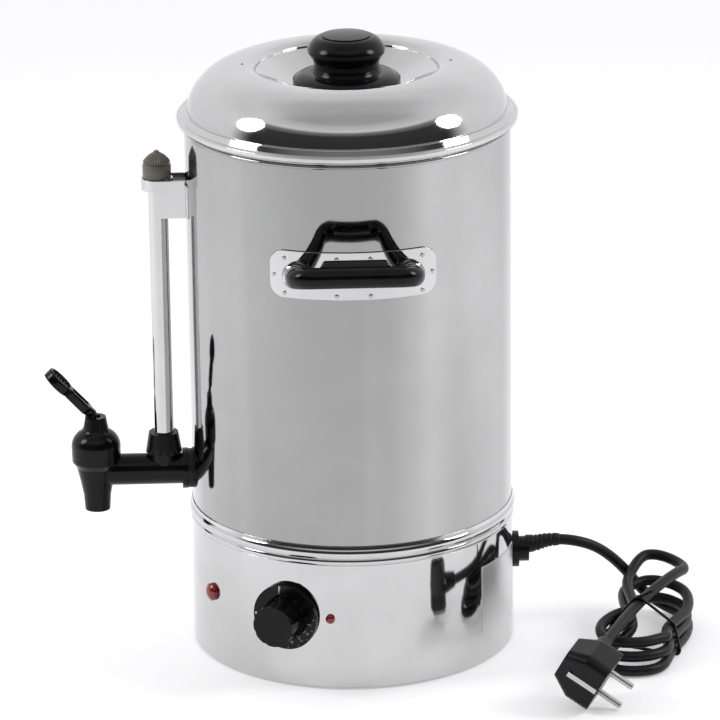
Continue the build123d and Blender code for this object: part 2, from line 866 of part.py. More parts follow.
def gauge_nut():
    z0 = gauge_nut_z
    z1 = gauge_nut_top
    nut = turned((0, z0), (gauge_nut_r, z0), (gauge_nut_top_r, z1), (0, z1))
    for step in range(16):
        rib = Pos(gauge_nut_r + 0.9, 0, gauge_nut_z) * Cylinder(1.6, 40)
        nut -= Rot(0, 0, step * 22.5) * rib
    nut -= rod(boss_r + seat_gap, gauge_nut_z - 1, boss_top + 2.0)
    return on_gauge(nut - rod(glass_r + 0.3, gauge_nut_z, gauge_nut_top + 1))


def gauge_seals():
    lower = ring(boss_r - 0.3, glass_r + seat_gap, boss_top, boss_top + 2.0)
    upper = ring(guard_r - guard_t - seat_gap, glass_r + seat_gap, bracket_top - 7.5, bracket_top - 5.5)
    return on_gauge(solids(lower, upper))


def gauge_glass():
    return on_gauge(ring(glass_r, glass_bore_r, glass_foot, glass_top))


def gauge_guard():
    pipe = ring(guard_r, guard_r - guard_t, gauge_nut_top, guard_top)
    window = Pos(0, -10, (gauge_nut_top + guard_top) / 2) * Box(guard_slot, 20, guard_top - gauge_nut_top + 2)
    return on_gauge(pipe - window)


def gauge_bracket():
    hub = ring(bracket_ring_r, guard_r + seat_gap, bracket_ring_z, bracket_top)
    shape = on_gauge(hub)
    wall = tank_r + seat_gap
    zone = ring(wall + bracket_t, wall, bracket_foot_z, bracket_top)
    for side in (1, -1):
        x = side * (bracket_ring_r - bracket_t / 2)
        cheek = Pos(x, -(gauge_y + wall - 6) / 2, bracket_foot_z) * Box(
            bracket_t, gauge_y - wall + 6, bracket_top - bracket_foot_z, align=BOTTOM
        )
        shape += cheek - drum(wall)
        foot_x = side * (bracket_ring_r - bracket_t + bracket_foot_w / 2)
        foot_h = bracket_top - bracket_foot_z - 4
        foot = Box(bracket_foot_w, 30, foot_h, align=BOTTOM)
        shape += zone & Pos(foot_x, -tank_r, bracket_foot_z + 2) * foot
    return shape


def gauge_cap():
    z0 = bracket_top
    crown = [(cap_r, z0 + cap_side_h), (cap_crown_r, z0 + cap_crown_h), (0, z0 + cap_tip_h)]
    shell = turned((0, z0), (cap_r, z0), *crown)
    shell += rod(guard_r - guard_t - seat_gap, z0 - 5.5, z0)
    return on_gauge(shell - rod(glass_r + 0.3, z0 - 6, glass_top + 0.5))


# ---- heating ----
def foot_at(side):
    a = radians(180 + side * element_foot_deg)
    return (element_foot_r * cos(a), element_foot_r * sin(a))


def heating_element():
    low = tank_floor_z - bush_tail
    x, y = foot_at(1)
    points = [(x, y, low), (x, y, element_z)]
    bends = [element_corner]
    for azimuth in range(-144, 145, 36):
        a = radians(azimuth)
        points.append((element_r * cos(a), element_r * sin(a), element_z))
    bends += [30] + [60] * 7 + [30]
    x, y = foot_at(-1)
    points += [(x, y, element_z), (x, y, low)]
    bends.append(element_corner)
    bar = tube(points, element_tube_r, bends)
    for side in (1, -1):
        bar += Pos(*foot_at(side), 0) * rod(terminal_pin_r, low - terminal_pin_len, low)
    return bar


def element_bushes():
    z = tank_floor_z + element_gasket_t
    bush = rod(bush_flange_r, z, z + bush_flange_t) + rod(bush_r, tank_floor_z - bush_tail + 1, z)
    bush -= rod(element_tube_r + seat_gap, 0, z + 20)
    return solids(*[Pos(*foot_at(s), 0) * bush for s in (1, -1)])


def element_gaskets():
    washer = ring(bush_flange_r, bush_r + seat_gap, tank_floor_z, tank_floor_z + element_gasket_t)
    return solids(*[Pos(*foot_at(s), 0) * washer for s in (1, -1)])


def element_nuts():
    z = tank_floor_z - tank_floor_t
    nut = hexagon(element_nut_af, z - element_nut_t, z) - rod(bush_r + seat_gap, 0, z + 5)
    return solids(*[Pos(*foot_at(s), 0) * nut for s in (1, -1)])


# ---- controls on the skirt, built on +X ----
def thermostat_body():
    x0 = thermostat_face - thermostat_d
    case = Pos(x0 + thermostat_d / 2, 0, 0) * Box(thermostat_d, thermostat_w, thermostat_h)
    boss_end = sqrt(skirt_in_r**2 - (thermostat_screw_y + 4) ** 2) - seat_gap
    for side in (1, -1):
        place = Pos(0, side * thermostat_screw_y, 0)
        case += place * along_x(rod(4.0, thermostat_face, boss_end))
        case -= place * along_x(rod(thermostat_screw_r + seat_gap, x0 + 5, boss_end + 1))
    case += along_x(rod(collar_shaft_r, thermostat_face, skirt_r + 0.2))
    case -= along_x(rod(dial_shaft_r + run_gap, x0 + 4, skirt_r + 5))
    return at_azimuth(case, dial_az, control_z)


def thermostat_screws():
    seat = sqrt(skirt_r**2 - (thermostat_screw_y - 3.4) ** 2) + seat_gap
    screw = rod(3.4, seat, seat + 1.6) + rod(thermostat_screw_r, thermostat_face - 8, seat)
    places = [Pos(0, side * thermostat_screw_y, 0) for side in (1, -1)]
    return solids(*[at_azimuth(place * along_x(screw), dial_az, control_z) for place in places])


def thermostat_shaft():
    x0 = thermostat_face - thermostat_d + 5
    x1 = dial_back + dial_h - 4
    shaft = rod(dial_shaft_r, x0, x1)
    shaft -= Pos(dial_shaft_r, 0, x1) * Box(2.0, 10, 2 * (x1 - skirt_r - 5))
    return at_azimuth(along_x(shaft), dial_az, control_z)


def thermostat_dial():
    x1 = dial_back + dial_h
    split = dial_back + dial_flange_t
    disc = rod(dial_r, dial_back, split)
    grip = turned((0, split), (dial_grip_r, split), (dial_grip_top_r, x1), (0, x1))
    for step in range(dial_lobes):
        cut = Pos(dial_grip_r + dial_lobe_r * 0.62, 0, split) * Cylinder(dial_lobe_r, 60, align=BOTTOM)
        grip -= Rot(0, 0, (step + 0.5) * 360 / dial_lobes) * cut
    dial = disc + grip
    dial -= rod(dial_recess_r, dial_back - 1, dial_back + dial_recess)
    bore = rod(dial_shaft_r + seat_gap, dial_back - 1, x1 - 3.5)
    flat_side = Pos(dial_shaft_r + seat_gap, 0, x1) * Box(2.0, 10, 2 * (x1 - skirt_r - 5.2))
    dial -= bore - flat_side
    return at_azimuth(along_x(dial), dial_az, control_z)


def thermostat_capillary():
    z = tank_floor_z - tank_floor_t - bulb_r - seat_gap
    a = radians(dial_az)
    bulb_place = tank_r - bulb_in
    start = (bulb_place * cos(a), bulb_place * sin(a))
    side = (-sin(a), cos(a))
    back_x = (thermostat_face - thermostat_d) * cos(a)
    back_y = (thermostat_face - thermostat_d) * sin(a)
    tail = (start[0] + side[0] * bulb_len / 2, start[1] + side[1] * bulb_len / 2)
    head = (start[0] - side[0] * bulb_len / 2, start[1] - side[1] * bulb_len / 2)
    straight = Line((*head, z), (*tail, z))
    bulb = sweep(Plane(origin=straight @ 0, z_dir=straight % 0) * Circle(bulb_r), straight)
    out = (tail[0] + side[0] * capillary_out, tail[1] + side[1] * capillary_out)
    mid = (out[0] - 8 * cos(a), out[1] - 8 * sin(a))
    z_low = control_z + 6
    points = [(*tail, z), (*out, z), (*mid, z - capillary_drop)]
    points += [(back_x - 10 * cos(a), back_y - 10 * sin(a), z_low), (back_x, back_y, z_low)]
    pipe = tube(points, capillary_r, list(capillary_bends))
    return bulb + pipe


def lens(radius, height):
    x0 = skirt_r + lens_stand
    x1 = skirt_r + height
    side = flat([(0, x1), (0, x0), (radius, x0), (radius, skirt_r + height * 0.45)])
    return turned_edges(cap_arc(radius, skirt_r + height * 0.45, x1), side)


def mains_lamp():
    return at_azimuth(along_x(lens(mains_lamp_r, mains_lamp_h)), mains_lamp_az, control_z)


def heating_lamp():
    return at_azimuth(along_x(lens(heating_lamp_r, heating_lamp_h)), heating_lamp_az, control_z)


def lamp_bodies():
    found = []
    for azimuth, radius in lamps:
        body = rod(radius - lamp_step, skirt_r + lens_stand - lamp_body_len, skirt_r + lens_stand)
        found.append(at_azimuth(along_x(body), azimuth, control_z))
    return solids(*found)


def rating_plate():
    inner = skirt_r + seat_gap
    outer = inner + rating_t
    top = rating_z + rating_h
    corners = [(inner, rating_z), (outer, rating_z), (outer, top), (inner, top)]
    section = make_face(Polyline(*[(r, 0, z) for r, z in corners], close=True))
    plate = revolve(section, Axis.Z, revolution_arc=rating_to - rating_from)
    return Rot(0, 0, rating_from) * plate


# ---- wiring under the tank ----
def cutout_body():
    body = rod(cutout_r, base_top_z, base_top_z + cutout_h)
    body -= rod(button_r + 0.08, base_top_z - 1, base_top_z + 8)
    for side in (1, -1):
        body += Pos(side * cutout_tab, 0, base_top_z + cutout_h) * Box(0.8, 6.3, 7, align=BOTTOM)
    return Pos(*cutout_at, 0) * body


def cutout_button():
    return Pos(*cutout_at, 0) * rod(button_r, button_bottom, base_top_z + 8 - button_travel - 0.2)


def block_pole(step):
    pitch = block_size[0] / block_poles
    return block_at[0] + (step - (block_poles - 1) / 2) * pitch


def terminal_block():
    block = Pos(*block_at, base_top_z) * Box(*block_size, align=BOTTOM)
    for step in range(block_poles):
        block -= Pos(block_pole(step), block_at[1] + 3, base_top_z + 8) * rod(2.2, 0, 20)
    return block


def earth_stud():
    head_top = base_z + base_well_rise - seat_gap
    post = rod(earth_r, head_top - 2.0, base_top_z + earth_h)
    head = hexagon(earth_af, head_top - 2.8, head_top)
    bore = rod(earth_r + seat_gap, 0, base_top_z + 30)
    nut = hexagon(earth_af, base_top_z + 1.2, base_top_z + 4.4) - bore
    washer = rod(earth_r + 2.5, base_top_z + seat_gap, base_top_z + 1) - bore
    return Pos(*earth_at, 0) * solids(post + head, nut, washer)


def internal_leads():
    top = base_top_z + block_size[2]
    pin_z = tank_floor_z - bush_tail - terminal_pin_len
    cut_z = base_top_z + cutout_h + 7
    x1, y1 = foot_at(-1)
    x2, y2 = foot_at(1)
    y = block_at[1] - 6
    cut_x, cut_y = cutout_at
    tab = cutout_tab
    routes = [
        [(block_pole(0), y, top), (block_pole(0), y, top + 14), (x1, y1, pin_z - 22), (x1, y1, pin_z)],
        [
            (cut_x - tab, cut_y, cut_z), (cut_x - tab, cut_y, cut_z + 16),
            (x2, y2, pin_z - 18), (x2, y2, pin_z),
        ],
        [
            (block_pole(3), y, top), (block_pole(3), y, top + 18),
            (cut_x + tab, cut_y, cut_z + 18), (cut_x + tab, cut_y, cut_z),
        ],
    ]
    return solids(*[tube(route, lead_r, 8) for route in routes])


# ---- mains cord ----
def cord_gland():
    body = rod(gland_r, gland_flange_y, gland_y) + rod(gland_flange_r, skirt_r - 4, gland_flange_y)
    body = along_x(body) - Pos(0, 0, -gland_z) * drum(skirt_r + seat_gap)
    body += along_x(rod(gland_thread_r, gland_tail_y, gland_flange_y))
    hole = along_x(rod(cord_d / 2 + seat_gap, gland_tail_y - 1, gland_y + 1))
    body -= Pos(0, 0, gland_hole_up) * hole
    return at_azimuth(body, 90, gland_z)


def gland_nut():
    nut = along_x(ring(gland_nut_r, gland_thread_r + seat_gap, skirt_in_r - gland_nut_t, skirt_r))
    nut &= Pos(0, 0, -gland_z) * drum(skirt_in_r - seat_gap)
    return at_azimuth(nut, 90, gland_z)


def bends_of(points):
    """Largest tangent arc that each corner's two runs allow."""
    found = []
    for before, here, after in zip(points, points[1:], points[2:]):
        run_in = Vector(*here) - Vector(*before)
        run_out = Vector(*after) - Vector(*here)
        half = radians(run_in.get_angle(run_out)) / 2
        found.append(0.45 * min(run_in.length, run_out.length) / tan(half))
    return found


def from_skirt(shape):
    """Move a shape that is placed from the skirt's rear."""
    return Pos(0, skirt_r, 0) * shape


def plug_plane():
    return Plane(origin=plug_face, x_dir=plug_cord_dir, z_dir=plug_pins_dir)


def neck_point(reach):
    """Point on the plug neck's axis, at a distance from the middle of the body."""
    spot = plug_plane().from_local_coords(Vector(reach, 0, -plug_neck_at))
    return (spot.X, spot.Y, spot.Z)


def power_cord():
    runs = [cord_from_gland, cord_to_plug + (neck_point(plug_w / 2 + 8),)]
    pieces = []
    for run in runs:
        bends = bends_of(run)
        piece = tube(run, cord_d / 2, bends)
        path = FilletPolyline(*run, radius=bends)
        print("cord stretch", round(path.length, 1), "mm, radii", [round(b, 1) for b in bends])
        print("volume over section times length", round(piece.volume / (path.length * pi * cord_d**2 / 4), 4))
        pieces.append(from_skirt(piece))
    return solids(*pieces)


def cord_hank():
    """Outer shape of the tied hank: a far and a near lobe, its top sloping down to the near end."""
    outline = None
    for x, y, long, wide, turn in (hank_far, hank_near):
        lobe = Pos(x, y) * (Rot(0, 0, turn) * Ellipse(long, wide))
        outline = lobe if outline is None else outline + lobe
    x0, z0, x1, z1 = hank_top
    wedge = Plane.XZ * make_face(Polyline((x0, 0), (x1, 0), (x1, z1), (x0, z0), close=True))
    return from_skirt(extrude(outline, z0) & extrude(wedge, -200))


def cord_tie():
    loop = Plane.YZ * RectangleRounded(tie_w, tie_h, tie_h * 0.4)
    path = loop.wire()
    band = sweep(Plane(origin=path @ 0, z_dir=path % 0) * Circle(tie_r), path)
    return from_skirt(Pos(*tie_at, tie_h / 2 + tie_r + 0.2) * (Rot(0, 0, tie_turn) * band))


def plug_body():
    block = extrude(RectangleRounded(plug_w, plug_h, 7.0), -plug_d * 0.55)
    back = loft(
        [
            Pos(0, 0, -plug_d * 0.55) * RectangleRounded(plug_w, plug_h, 7.0),
            Pos(0, 0, -plug_d) * RectangleRounded(plug_w - 8, plug_back, 5.0),
        ]
    )
    neck = Cone(plug_neck_r, plug_neck_end_r, plug_neck_len, align=BOTTOM)
    neck = Pos(plug_w / 2 - 1, 0, -plug_neck_at) * along_x(neck)
    body = block + back + neck
    for side in (1, -1):
        body -= Pos(0, side * pin_pitch / 2, -12) * Cylinder(pin_r + seat_gap, 20, align=BOTTOM)
        slot = Box(1.6, earth_w + 2 * seat_gap, earth_len + 5, align=BOTTOM)
        body -= Pos(side * plug_w / 2, 0, -earth_len - 1.5) * slot
    return from_skirt(plug_plane() * body)


def plug_contacts():
    found = []
    for side in (1, -1):
        pin = Pos(0, side * pin_pitch / 2, -10) * Cylinder(pin_r, pin_len + 10, align=BOTTOM)
        found.append(from_skirt(plug_plane() * fillet(pin.edges().group_by(Axis.Z)[-1], 0.9)))
        strip = Box(earth_t, earth_w, earth_len, align=BOTTOM)
        strip = Pos(side * (plug_w - earth_t) / 2, 0, -earth_len - 1) * strip
        found.append(from_skirt(plug_plane() * strip))
    return solids(*found)


NODES = {
    "lid_shell": lid_shell,
    "lid_ring": lid_ring,
    "knob_foot": knob_foot,
    "knob_grip": knob_grip,
    "knob_cap": knob_cap,
    "knob_screw": knob_screw,
    "tank_wall": tank_wall,
    "tank_floor": tank_floor,
    "seam_ring": seam_ring,
    "skirt": skirt,
    "base_plate": base_plate,
    "foot_ring": foot_ring,
    "tie_rods": tie_rods,
    "tie_nuts": tie_nuts,
    "handle_plates": handle_plates,
    "handle_ferrules": handle_ferrules,
    "handle_studs": handle_studs,
    "handle_grips": handle_grips,
    "tap_body": tap_body,
    "tap_bonnet": tap_bonnet,
    "tap_bonnet_seal": tap_bonnet_seal,
    "tap_gaskets": tap_gaskets,
    "tap_lock_nut": tap_lock_nut,
    "tap_stem": tap_stem,
    "tap_seat_cup": tap_seat_cup,
    "tap_spring": tap_spring,
    "tap_lever": tap_lever,
    "tap_lever_pin": tap_lever_pin,
    "tap_link_pin": tap_link_pin,
    "gauge_nut": gauge_nut,
    "gauge_seals": gauge_seals,
    "gauge_glass": gauge_glass,
    "gauge_guard": gauge_guard,
    "gauge_bracket": gauge_bracket,
    "gauge_cap": gauge_cap,
    "heating_element": heating_element,
    "element_bushes": element_bushes,
    "element_gaskets": element_gaskets,
    "element_nuts": element_nuts,
    "thermostat_body": thermostat_body,
    "thermostat_screws": thermostat_screws,
    "thermostat_shaft": thermostat_shaft,
    "thermostat_dial": thermostat_dial,
    "thermostat_capillary": thermostat_capillary,
    "mains_lamp": mains_lamp,
    "heating_lamp": heating_lamp,
    "lamp_bodies": lamp_bodies,
    "rating_plate": rating_plate,
    "cutout_body": cutout_body,
    "cutout_button": cutout_button,
    "terminal_block": terminal_block,
    "earth_stud": earth_stud,
    "internal_leads": internal_leads,
    "cord_gland": cord_gland,
    "gland_nut": gland_nut,
    "power_cord": power_cord,
    "cord_hank": cord_hank,
    "cord_tie": cord_tie,
    "plug_body": plug_body,
    "plug_contacts": plug_contacts,
}

os.makedirs("parts", exist_ok=True)
for name, make in NODES.items():
    export_step(make(), f"parts/{name}.step")
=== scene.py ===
import json
import math

import bmesh
import bpy
from mathutils import Matrix, Vector


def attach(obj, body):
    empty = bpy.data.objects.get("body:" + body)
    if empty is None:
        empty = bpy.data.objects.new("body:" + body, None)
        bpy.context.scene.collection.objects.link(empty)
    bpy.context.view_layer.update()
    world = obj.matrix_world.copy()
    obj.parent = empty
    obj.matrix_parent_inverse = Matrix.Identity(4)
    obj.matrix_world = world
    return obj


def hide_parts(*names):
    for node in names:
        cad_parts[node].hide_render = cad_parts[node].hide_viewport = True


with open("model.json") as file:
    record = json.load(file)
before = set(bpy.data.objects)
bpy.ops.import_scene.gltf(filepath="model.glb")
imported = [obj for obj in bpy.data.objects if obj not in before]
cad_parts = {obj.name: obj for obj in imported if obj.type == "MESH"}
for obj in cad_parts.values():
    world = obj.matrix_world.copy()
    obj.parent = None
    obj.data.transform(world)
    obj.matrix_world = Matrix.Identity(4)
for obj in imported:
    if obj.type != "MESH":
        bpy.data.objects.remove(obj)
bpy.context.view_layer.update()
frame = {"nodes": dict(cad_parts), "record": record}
nodes = frame["nodes"]

MM = 0.001
URN = "urn"
SKIRT_R = 119.1
TANK_R = 118.0


# ---- small helpers ----
def mm(*values):
    """A point given in millimetres, in metres."""
    return Vector(values) * MM


def add_piece(name, mesh, body):
    """Put a mesh in the scene as a named piece that rides on a CAD body."""
    piece = bpy.data.objects.new(name, mesh)
    bpy.context.scene.collection.objects.link(piece)
    for face in mesh.polygons:
        face.use_smooth = True
    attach(piece, body)
    return piece


def mesh_of(name, vertices, faces):
    mesh = bpy.data.meshes.new(name)
    mesh.from_pydata([tuple(v) for v in vertices], [], faces)
    mesh.validate()
    return mesh


def lathe(name, outline, steps=64, frame_at=None):
    """Turned mesh from (radius, height) corners in millimetres, closed where the radius is zero."""
    place = frame_at or Matrix.Identity(4)
    points = []
    rings = []
    for radius, height in outline:
        if radius < 1e-6:
            rings.append([len(points)])
            points.append(place @ mm(0, 0, height))
            continue
        first = len(points)
        for step in range(steps):
            a = math.tau * step / steps
            points.append(place @ mm(radius * math.cos(a), radius * math.sin(a), height))
        rings.append(list(range(first, first + steps)))
    faces = []
    for low, high in zip(rings, rings[1:]):
        for step in range(steps):
            after = (step + 1) % steps
            if len(low) == 1 and len(high) == 1:
                break
            if len(low) == 1:
                faces.append((low[0], high[after], high[step]))
            elif len(high) == 1:
                faces.append((low[step], low[after], high[0]))
            else:
                faces.append((low[step], low[after], high[after], high[step]))
    return mesh_of(name, points, faces)


def loops_mesh(name, loops, closed=False):
    """Skin over a row of point loops of equal length, capped at both ends unless the row closes."""
    count = len(loops[0])
    points = [p for loop in loops for p in loop]
    faces = []
    rows = len(loops)
    for row in range(rows if closed else rows - 1):
        low = row * count
        high = ((row + 1) % rows) * count
        for step in range(count):
            after = (step + 1) % count
            faces.append((low + step, low + after, high + after, high + step))
    if not closed:
        faces.append(tuple(reversed(range(count))))
        faces.append(tuple(range((rows - 1) * count, rows * count)))
    return mesh_of(name, points, faces)


def pipe(name, path, radius_at, sides=24, closed=False, up=None):
    """Tube along a path; radius_at(share of the way, angle) gives its radius in metres."""
    count = len(path)
    loops = []
    normal = up
    for index, here in enumerate(path):
        before = path[index - 1] if index or closed else here
        after = path[(index + 1) % count] if index < count - 1 or closed else here
        along = (after - before).normalized()
        if normal is None:
            normal = along.orthogonal()
        normal = (normal - along * normal.dot(along)).normalized()
        other = along.cross(normal)
        share = index / (count - 1)
        loop = []
        for step in range(sides):
            a = math.tau * step / sides
            reach = radius_at(share, a)
            loop.append(here + (normal * math.cos(a) + other * math.sin(a)) * reach)
        loops.append(loop)
    return loops_mesh(name, loops, closed)


def rounded_path(corners, radius, steps=8):
    """Points along straight runs joined by arcs of one radius, all in metres."""
    path = [corners[0]]
    for before, here, after in zip(corners, corners[1:], corners[2:]):
        run_in = (here - before).normalized()
        run_out = (after - here).normalized()
        half = run_in.angle(run_out) / 2
        cut = radius * math.tan(half)
        centre = here + (run_out - run_in).normalized() * (radius / math.cos(half))
        start = here - run_in * cut
        axis = run_in.cross(run_out).normalized()
        for step in range(steps + 1):
            turn = Matrix.Rotation(2 * half * step / steps, 3, axis)
            path.append(centre + turn @ (start - centre))
    return path + [corners[-1]]


def spread(path, pitch):
    """The same path with points at an even pitch."""
    even = [path[0]]
    left = pitch
    for a, b in zip(path, path[1:]):
        run = (b - a).length
        at = left
        while at < run:
            even.append(a.lerp(b, at / run))
            at += pitch
        left = at - run
    return even + [path[-1]]


def joined(name, meshes):
    """One mesh out of several."""
    work = bmesh.new()
    for mesh in meshes:
        work.from_mesh(mesh)
    out = bpy.data.meshes.new(name)
    bmesh.ops.recalc_face_normals(work, faces=work.faces)
    work.to_mesh(out)
    work.free()
    return out


# ---- materials ----
class Nodes:
    """A new material's node tree, with short calls to add and join nodes."""

    def __init__(self, name):
        self.material = bpy.data.materials.new(name)
        self.material.use_nodes = True
        self.tree = self.material.node_tree
        self.shader = self.tree.nodes["Principled BSDF"]
        self.coords = self.tree.nodes.new("ShaderNodeTexCoord").outputs["Object"]

    def add(self, kind, **settings):
        node = self.tree.nodes.new("ShaderNode" + kind)
        for key, value in settings.items():
            setattr(node, key, value)
        return node

    def join(self, a, b):
        self.tree.links.new(a, b)

    def put(self, **values):
        """Set the shader's own sockets to constant values."""
        for key, value in values.items():
            self.shader.inputs[key.replace("_", " ")].default_value = value

    def stretched(self, scale):
        node = self.add("Mapping")
        node.inputs["Scale"].default_value = scale
        self.join(self.coords, node.inputs["Vector"])
        return node.outputs["Vector"]

    def noise(self, scale, detail=4.0, rough=0.55, at=None):
        node = self.add("TexNoise")
        node.inputs["Scale"].default_value = scale
        node.inputs["Detail"].default_value = detail
        node.inputs["Roughness"].default_value = rough
        self.join(at or self.coords, node.inputs["Vector"])
        return node.outputs["Fac"]

    def ranged(self, value, low, high, out_low=0.0, out_high=1.0):
        node = self.add("MapRange")
        self.join(value, node.inputs["Value"])
        node.inputs["From Min"].default_value = low
        node.inputs["From Max"].default_value = high
        node.inputs["To Min"].default_value = out_low
        node.inputs["To Max"].default_value = out_high
        return node.outputs["Result"]

    def mixed(self, share, a, b):
        node = self.add("Mix", data_type="RGBA")
        self.join(share, node.inputs["Factor"])
        for socket, value in (("A", a), ("B", b)):
            target = [s for s in node.inputs if s.name == socket and s.type == "RGBA"][0]
            if isinstance(value, tuple):
                target.default_value = value
            else:
                self.join(value, target)
        return [s for s in node.outputs if s.type == "RGBA"][0]

    def bump(self, height, strength, distance, normal=None):
        node = self.add("Bump")
        node.inputs["Strength"].default_value = strength
        node.inputs["Distance"].default_value = distance
        self.join(height, node.inputs["Height"])
        if normal:
            self.join(normal, node.inputs["Normal"])
        return node.outputs["Normal"]

    def rounded(self, radius):
        node = self.add("Bevel", samples=6)
        node.inputs["Radius"].default_value = radius
        return node.outputs["Normal"]


def grey(level):
    return (level, level, level, 1.0)


def steel(name, light, dark, rough_low, rough_high, grain=(1, 1, 1), grain_bump=0.0, wave=0.0, round_mm=0.0,
          bands=0.0):
    """Stainless steel: brushing along the grain, cloudy roughness and a slow waviness of the sheet.

    With bands, broad upright shadows and faint stains lie on it too.
    """
    n = Nodes(name)
    streaks = n.noise(700.0, 3.0, 0.6, n.stretched(grain))
    clouds = n.noise(22.0, 5.0, 0.6)
    body = n.mixed(n.ranged(clouds, 0.3, 0.7), grey(dark), grey(light))
    if bands:
        wide = n.noise(13.0, 2.0, 0.5, n.stretched((1, 1, 0.02)))
        body = n.mixed(n.ranged(wide, 0.42, 0.62, 0.0, bands), body, grey(dark * 0.5))
        stained = (dark, dark * 0.94, dark * 0.78, 1)
        stain = n.noise(16.0, 4.0, 0.6, n.stretched((1, 1, 0.8)))
        body = n.mixed(n.ranged(stain, 0.62, 0.80, 0.0, 0.30), body, stained)
    n.join(body, n.shader.inputs["Base Color"])
    both = n.add("Math", operation="ADD")
    n.join(n.ranged(streaks, 0.3, 0.7, 0.0, 0.75), both.inputs[0])
    n.join(n.ranged(clouds, 0.35, 0.7, 0.0, 0.25), both.inputs[1])
    n.join(n.ranged(both.outputs[0], 0.0, 1.0, rough_low, rough_high), n.shader.inputs["Roughness"])
    normal = n.rounded(round_mm * MM) if round_mm else None
    if wave:
        normal = n.bump(n.noise(14.0, 1.0, 0.4), wave, 0.004, normal)
    if grain_bump:
        normal = n.bump(streaks, grain_bump, 0.0001, normal)
    if normal:
        n.join(normal, n.shader.inputs["Normal"])
    n.put(Metallic=1.0)
    return n.material


def plastic(name, base, rough_low, rough_high, grain_scale=900.0, bump=0.08, round_mm=0.4, coat=0.0,
            shine=0.3):
    """Moulded plastic: a fine moulded grain, rubbed patches and softened edges."""
    n = Nodes(name)
    rub = n.noise(45.0, 5.0, 0.6)
    grain = n.noise(grain_scale, 2.0, 0.5)
    worn = tuple(min(1.0, c * 1.4 + 0.003) for c in base[:3]) + (1.0,)
    n.join(n.mixed(n.ranged(rub, 0.42, 0.78), base, worn), n.shader.inputs["Base Color"])
    n.join(n.ranged(rub, 0.3, 0.75, rough_low, rough_high), n.shader.inputs["Roughness"])
    normal = n.bump(grain, bump, 0.0002, n.rounded(round_mm * MM))
    n.join(normal, n.shader.inputs["Normal"])
    n.put(Coat_Weight=coat, Coat_Roughness=0.08, Specular_IOR_Level=shine)
    return n.material


def lens_red(name):
    n = Nodes(name)
    n.join(n.mixed(n.ranged(n.noise(300.0), 0.3, 0.7), (0.20, 0.004, 0.004, 1), (0.32, 0.010, 0.008, 1)),
           n.shader.inputs["Base Color"])
    n.join(n.ranged(n.noise(120.0), 0.3, 0.7, 0.06, 0.16), n.shader.inputs["Roughness"])
    n.join(n.bump(n.noise(500.0, 1.0), 0.05, 0.0002), n.shader.inputs["Normal"])
    n.put(Coat_Weight=0.6, Coat_Roughness=0.05)
    return n.material


def clear_tube(name):
    n = Nodes(name)
    tint = n.mixed(n.noise(60.0), (0.92, 0.96, 0.95, 1), (0.98, 1.0, 0.99, 1))
    n.join(tint, n.shader.inputs["Base Color"])
    n.join(n.ranged(n.noise(90.0), 0.3, 0.7, 0.01, 0.06), n.shader.inputs["Roughness"])
    n.put(Transmission_Weight=1.0, IOR=1.47)
    return n.material


MATERIALS = {
    "polished_steel": steel("polished_steel", 0.62, 0.56, 0.04, 0.08, (1, 1, 1), 0.01, 0.05, 0.5),
    "satin_steel": steel("satin_steel", 0.48, 0.44, 0.03, 0.09, (0.03, 0.03, 1), 0.05, 0.04, 0.0, 0.5),
    "plated_steel": steel("plated_steel", 0.58, 0.50, 0.20, 0.34, (1, 1, 1), 0.10, 0.0, 0.3),
    "plate_foil": steel("plate_foil", 0.74, 0.68, 0.28, 0.40, (1, 0.03, 1), 0.10, 0.0),
    "spring_steel": steel("spring_steel", 0.50, 0.42, 0.20, 0.32, (1, 1, 0.1), 0.08),
    "black_plastic": plastic("black_plastic", (0.003, 0.003, 0.0038, 1),
                             0.10, 0.20, 900.0, 0.03, 0.8, 0.0, 0.2),
    "black_matte": plastic("black_matte", (0.005, 0.005, 0.0062, 1),
                           0.24, 0.40, 1200.0, 0.08, 0.5, 0.0, 0.22),
    "brown_plastic": plastic("brown_plastic", (0.17, 0.16, 0.13, 1), 0.26, 0.42, 900.0, 0.10, 0.3),
    "rubber": plastic("rubber", (0.008, 0.008, 0.0095, 1), 0.34, 0.50, 1500.0, 0.10, 0.4, 0.0, 0.25),
    "silicone": plastic("silicone", (0.66, 0.63, 0.58, 1), 0.42, 0.55, 700.0, 0.06, 0.3),
    "nylon": plastic("nylon", (0.70, 0.67, 0.60, 1), 0.40, 0.55, 800.0, 0.08, 0.6),
    "lead_sheath": plastic("lead_sheath", (0.42, 0.05, 0.04, 1), 0.45, 0.6, 900.0, 0.10, 0.2),
    "red_lens": lens_red("red_lens"),
    "clear_glass": clear_tube("clear_glass"),
}


def metal(name, base, shade, rough_low, rough_high):
    n = Nodes(name)
    tarnish = n.noise(60.0, 5.0, 0.65)
    n.join(n.mixed(n.ranged(tarnish, 0.35, 0.7), base, shade), n.shader.inputs["Base Color"])
    n.join(n.ranged(tarnish, 0.3, 0.7, rough_low, rough_high), n.shader.inputs["Roughness"])
    n.join(n.bump(n.noise(800.0), 0.06, 0.0002, n.rounded(0.3 * MM)), n.shader.inputs["Normal"])
    n.put(Metallic=1.0)
    return n.material


MATERIALS["brass"] = metal("brass", (0.62, 0.45, 0.20, 1), (0.42, 0.29, 0.13, 1), 0.20, 0.38)
MATERIALS["copper_tube"] = metal("copper_tube", (0.60, 0.30, 0.18, 1), (0.36, 0.18, 0.11, 1), 0.22, 0.40)

slots = {row["node"]: row["material_slot"] for row in frame["record"]["subparts"]}
# the pin's ends show in the lever's sides and are as black as the lever
slots["tap_lever_pin"] = "black_plastic"
for node, piece in nodes.items():
    piece.data.materials.clear()
    piece.data.materials.append(MATERIALS[slots[node]])

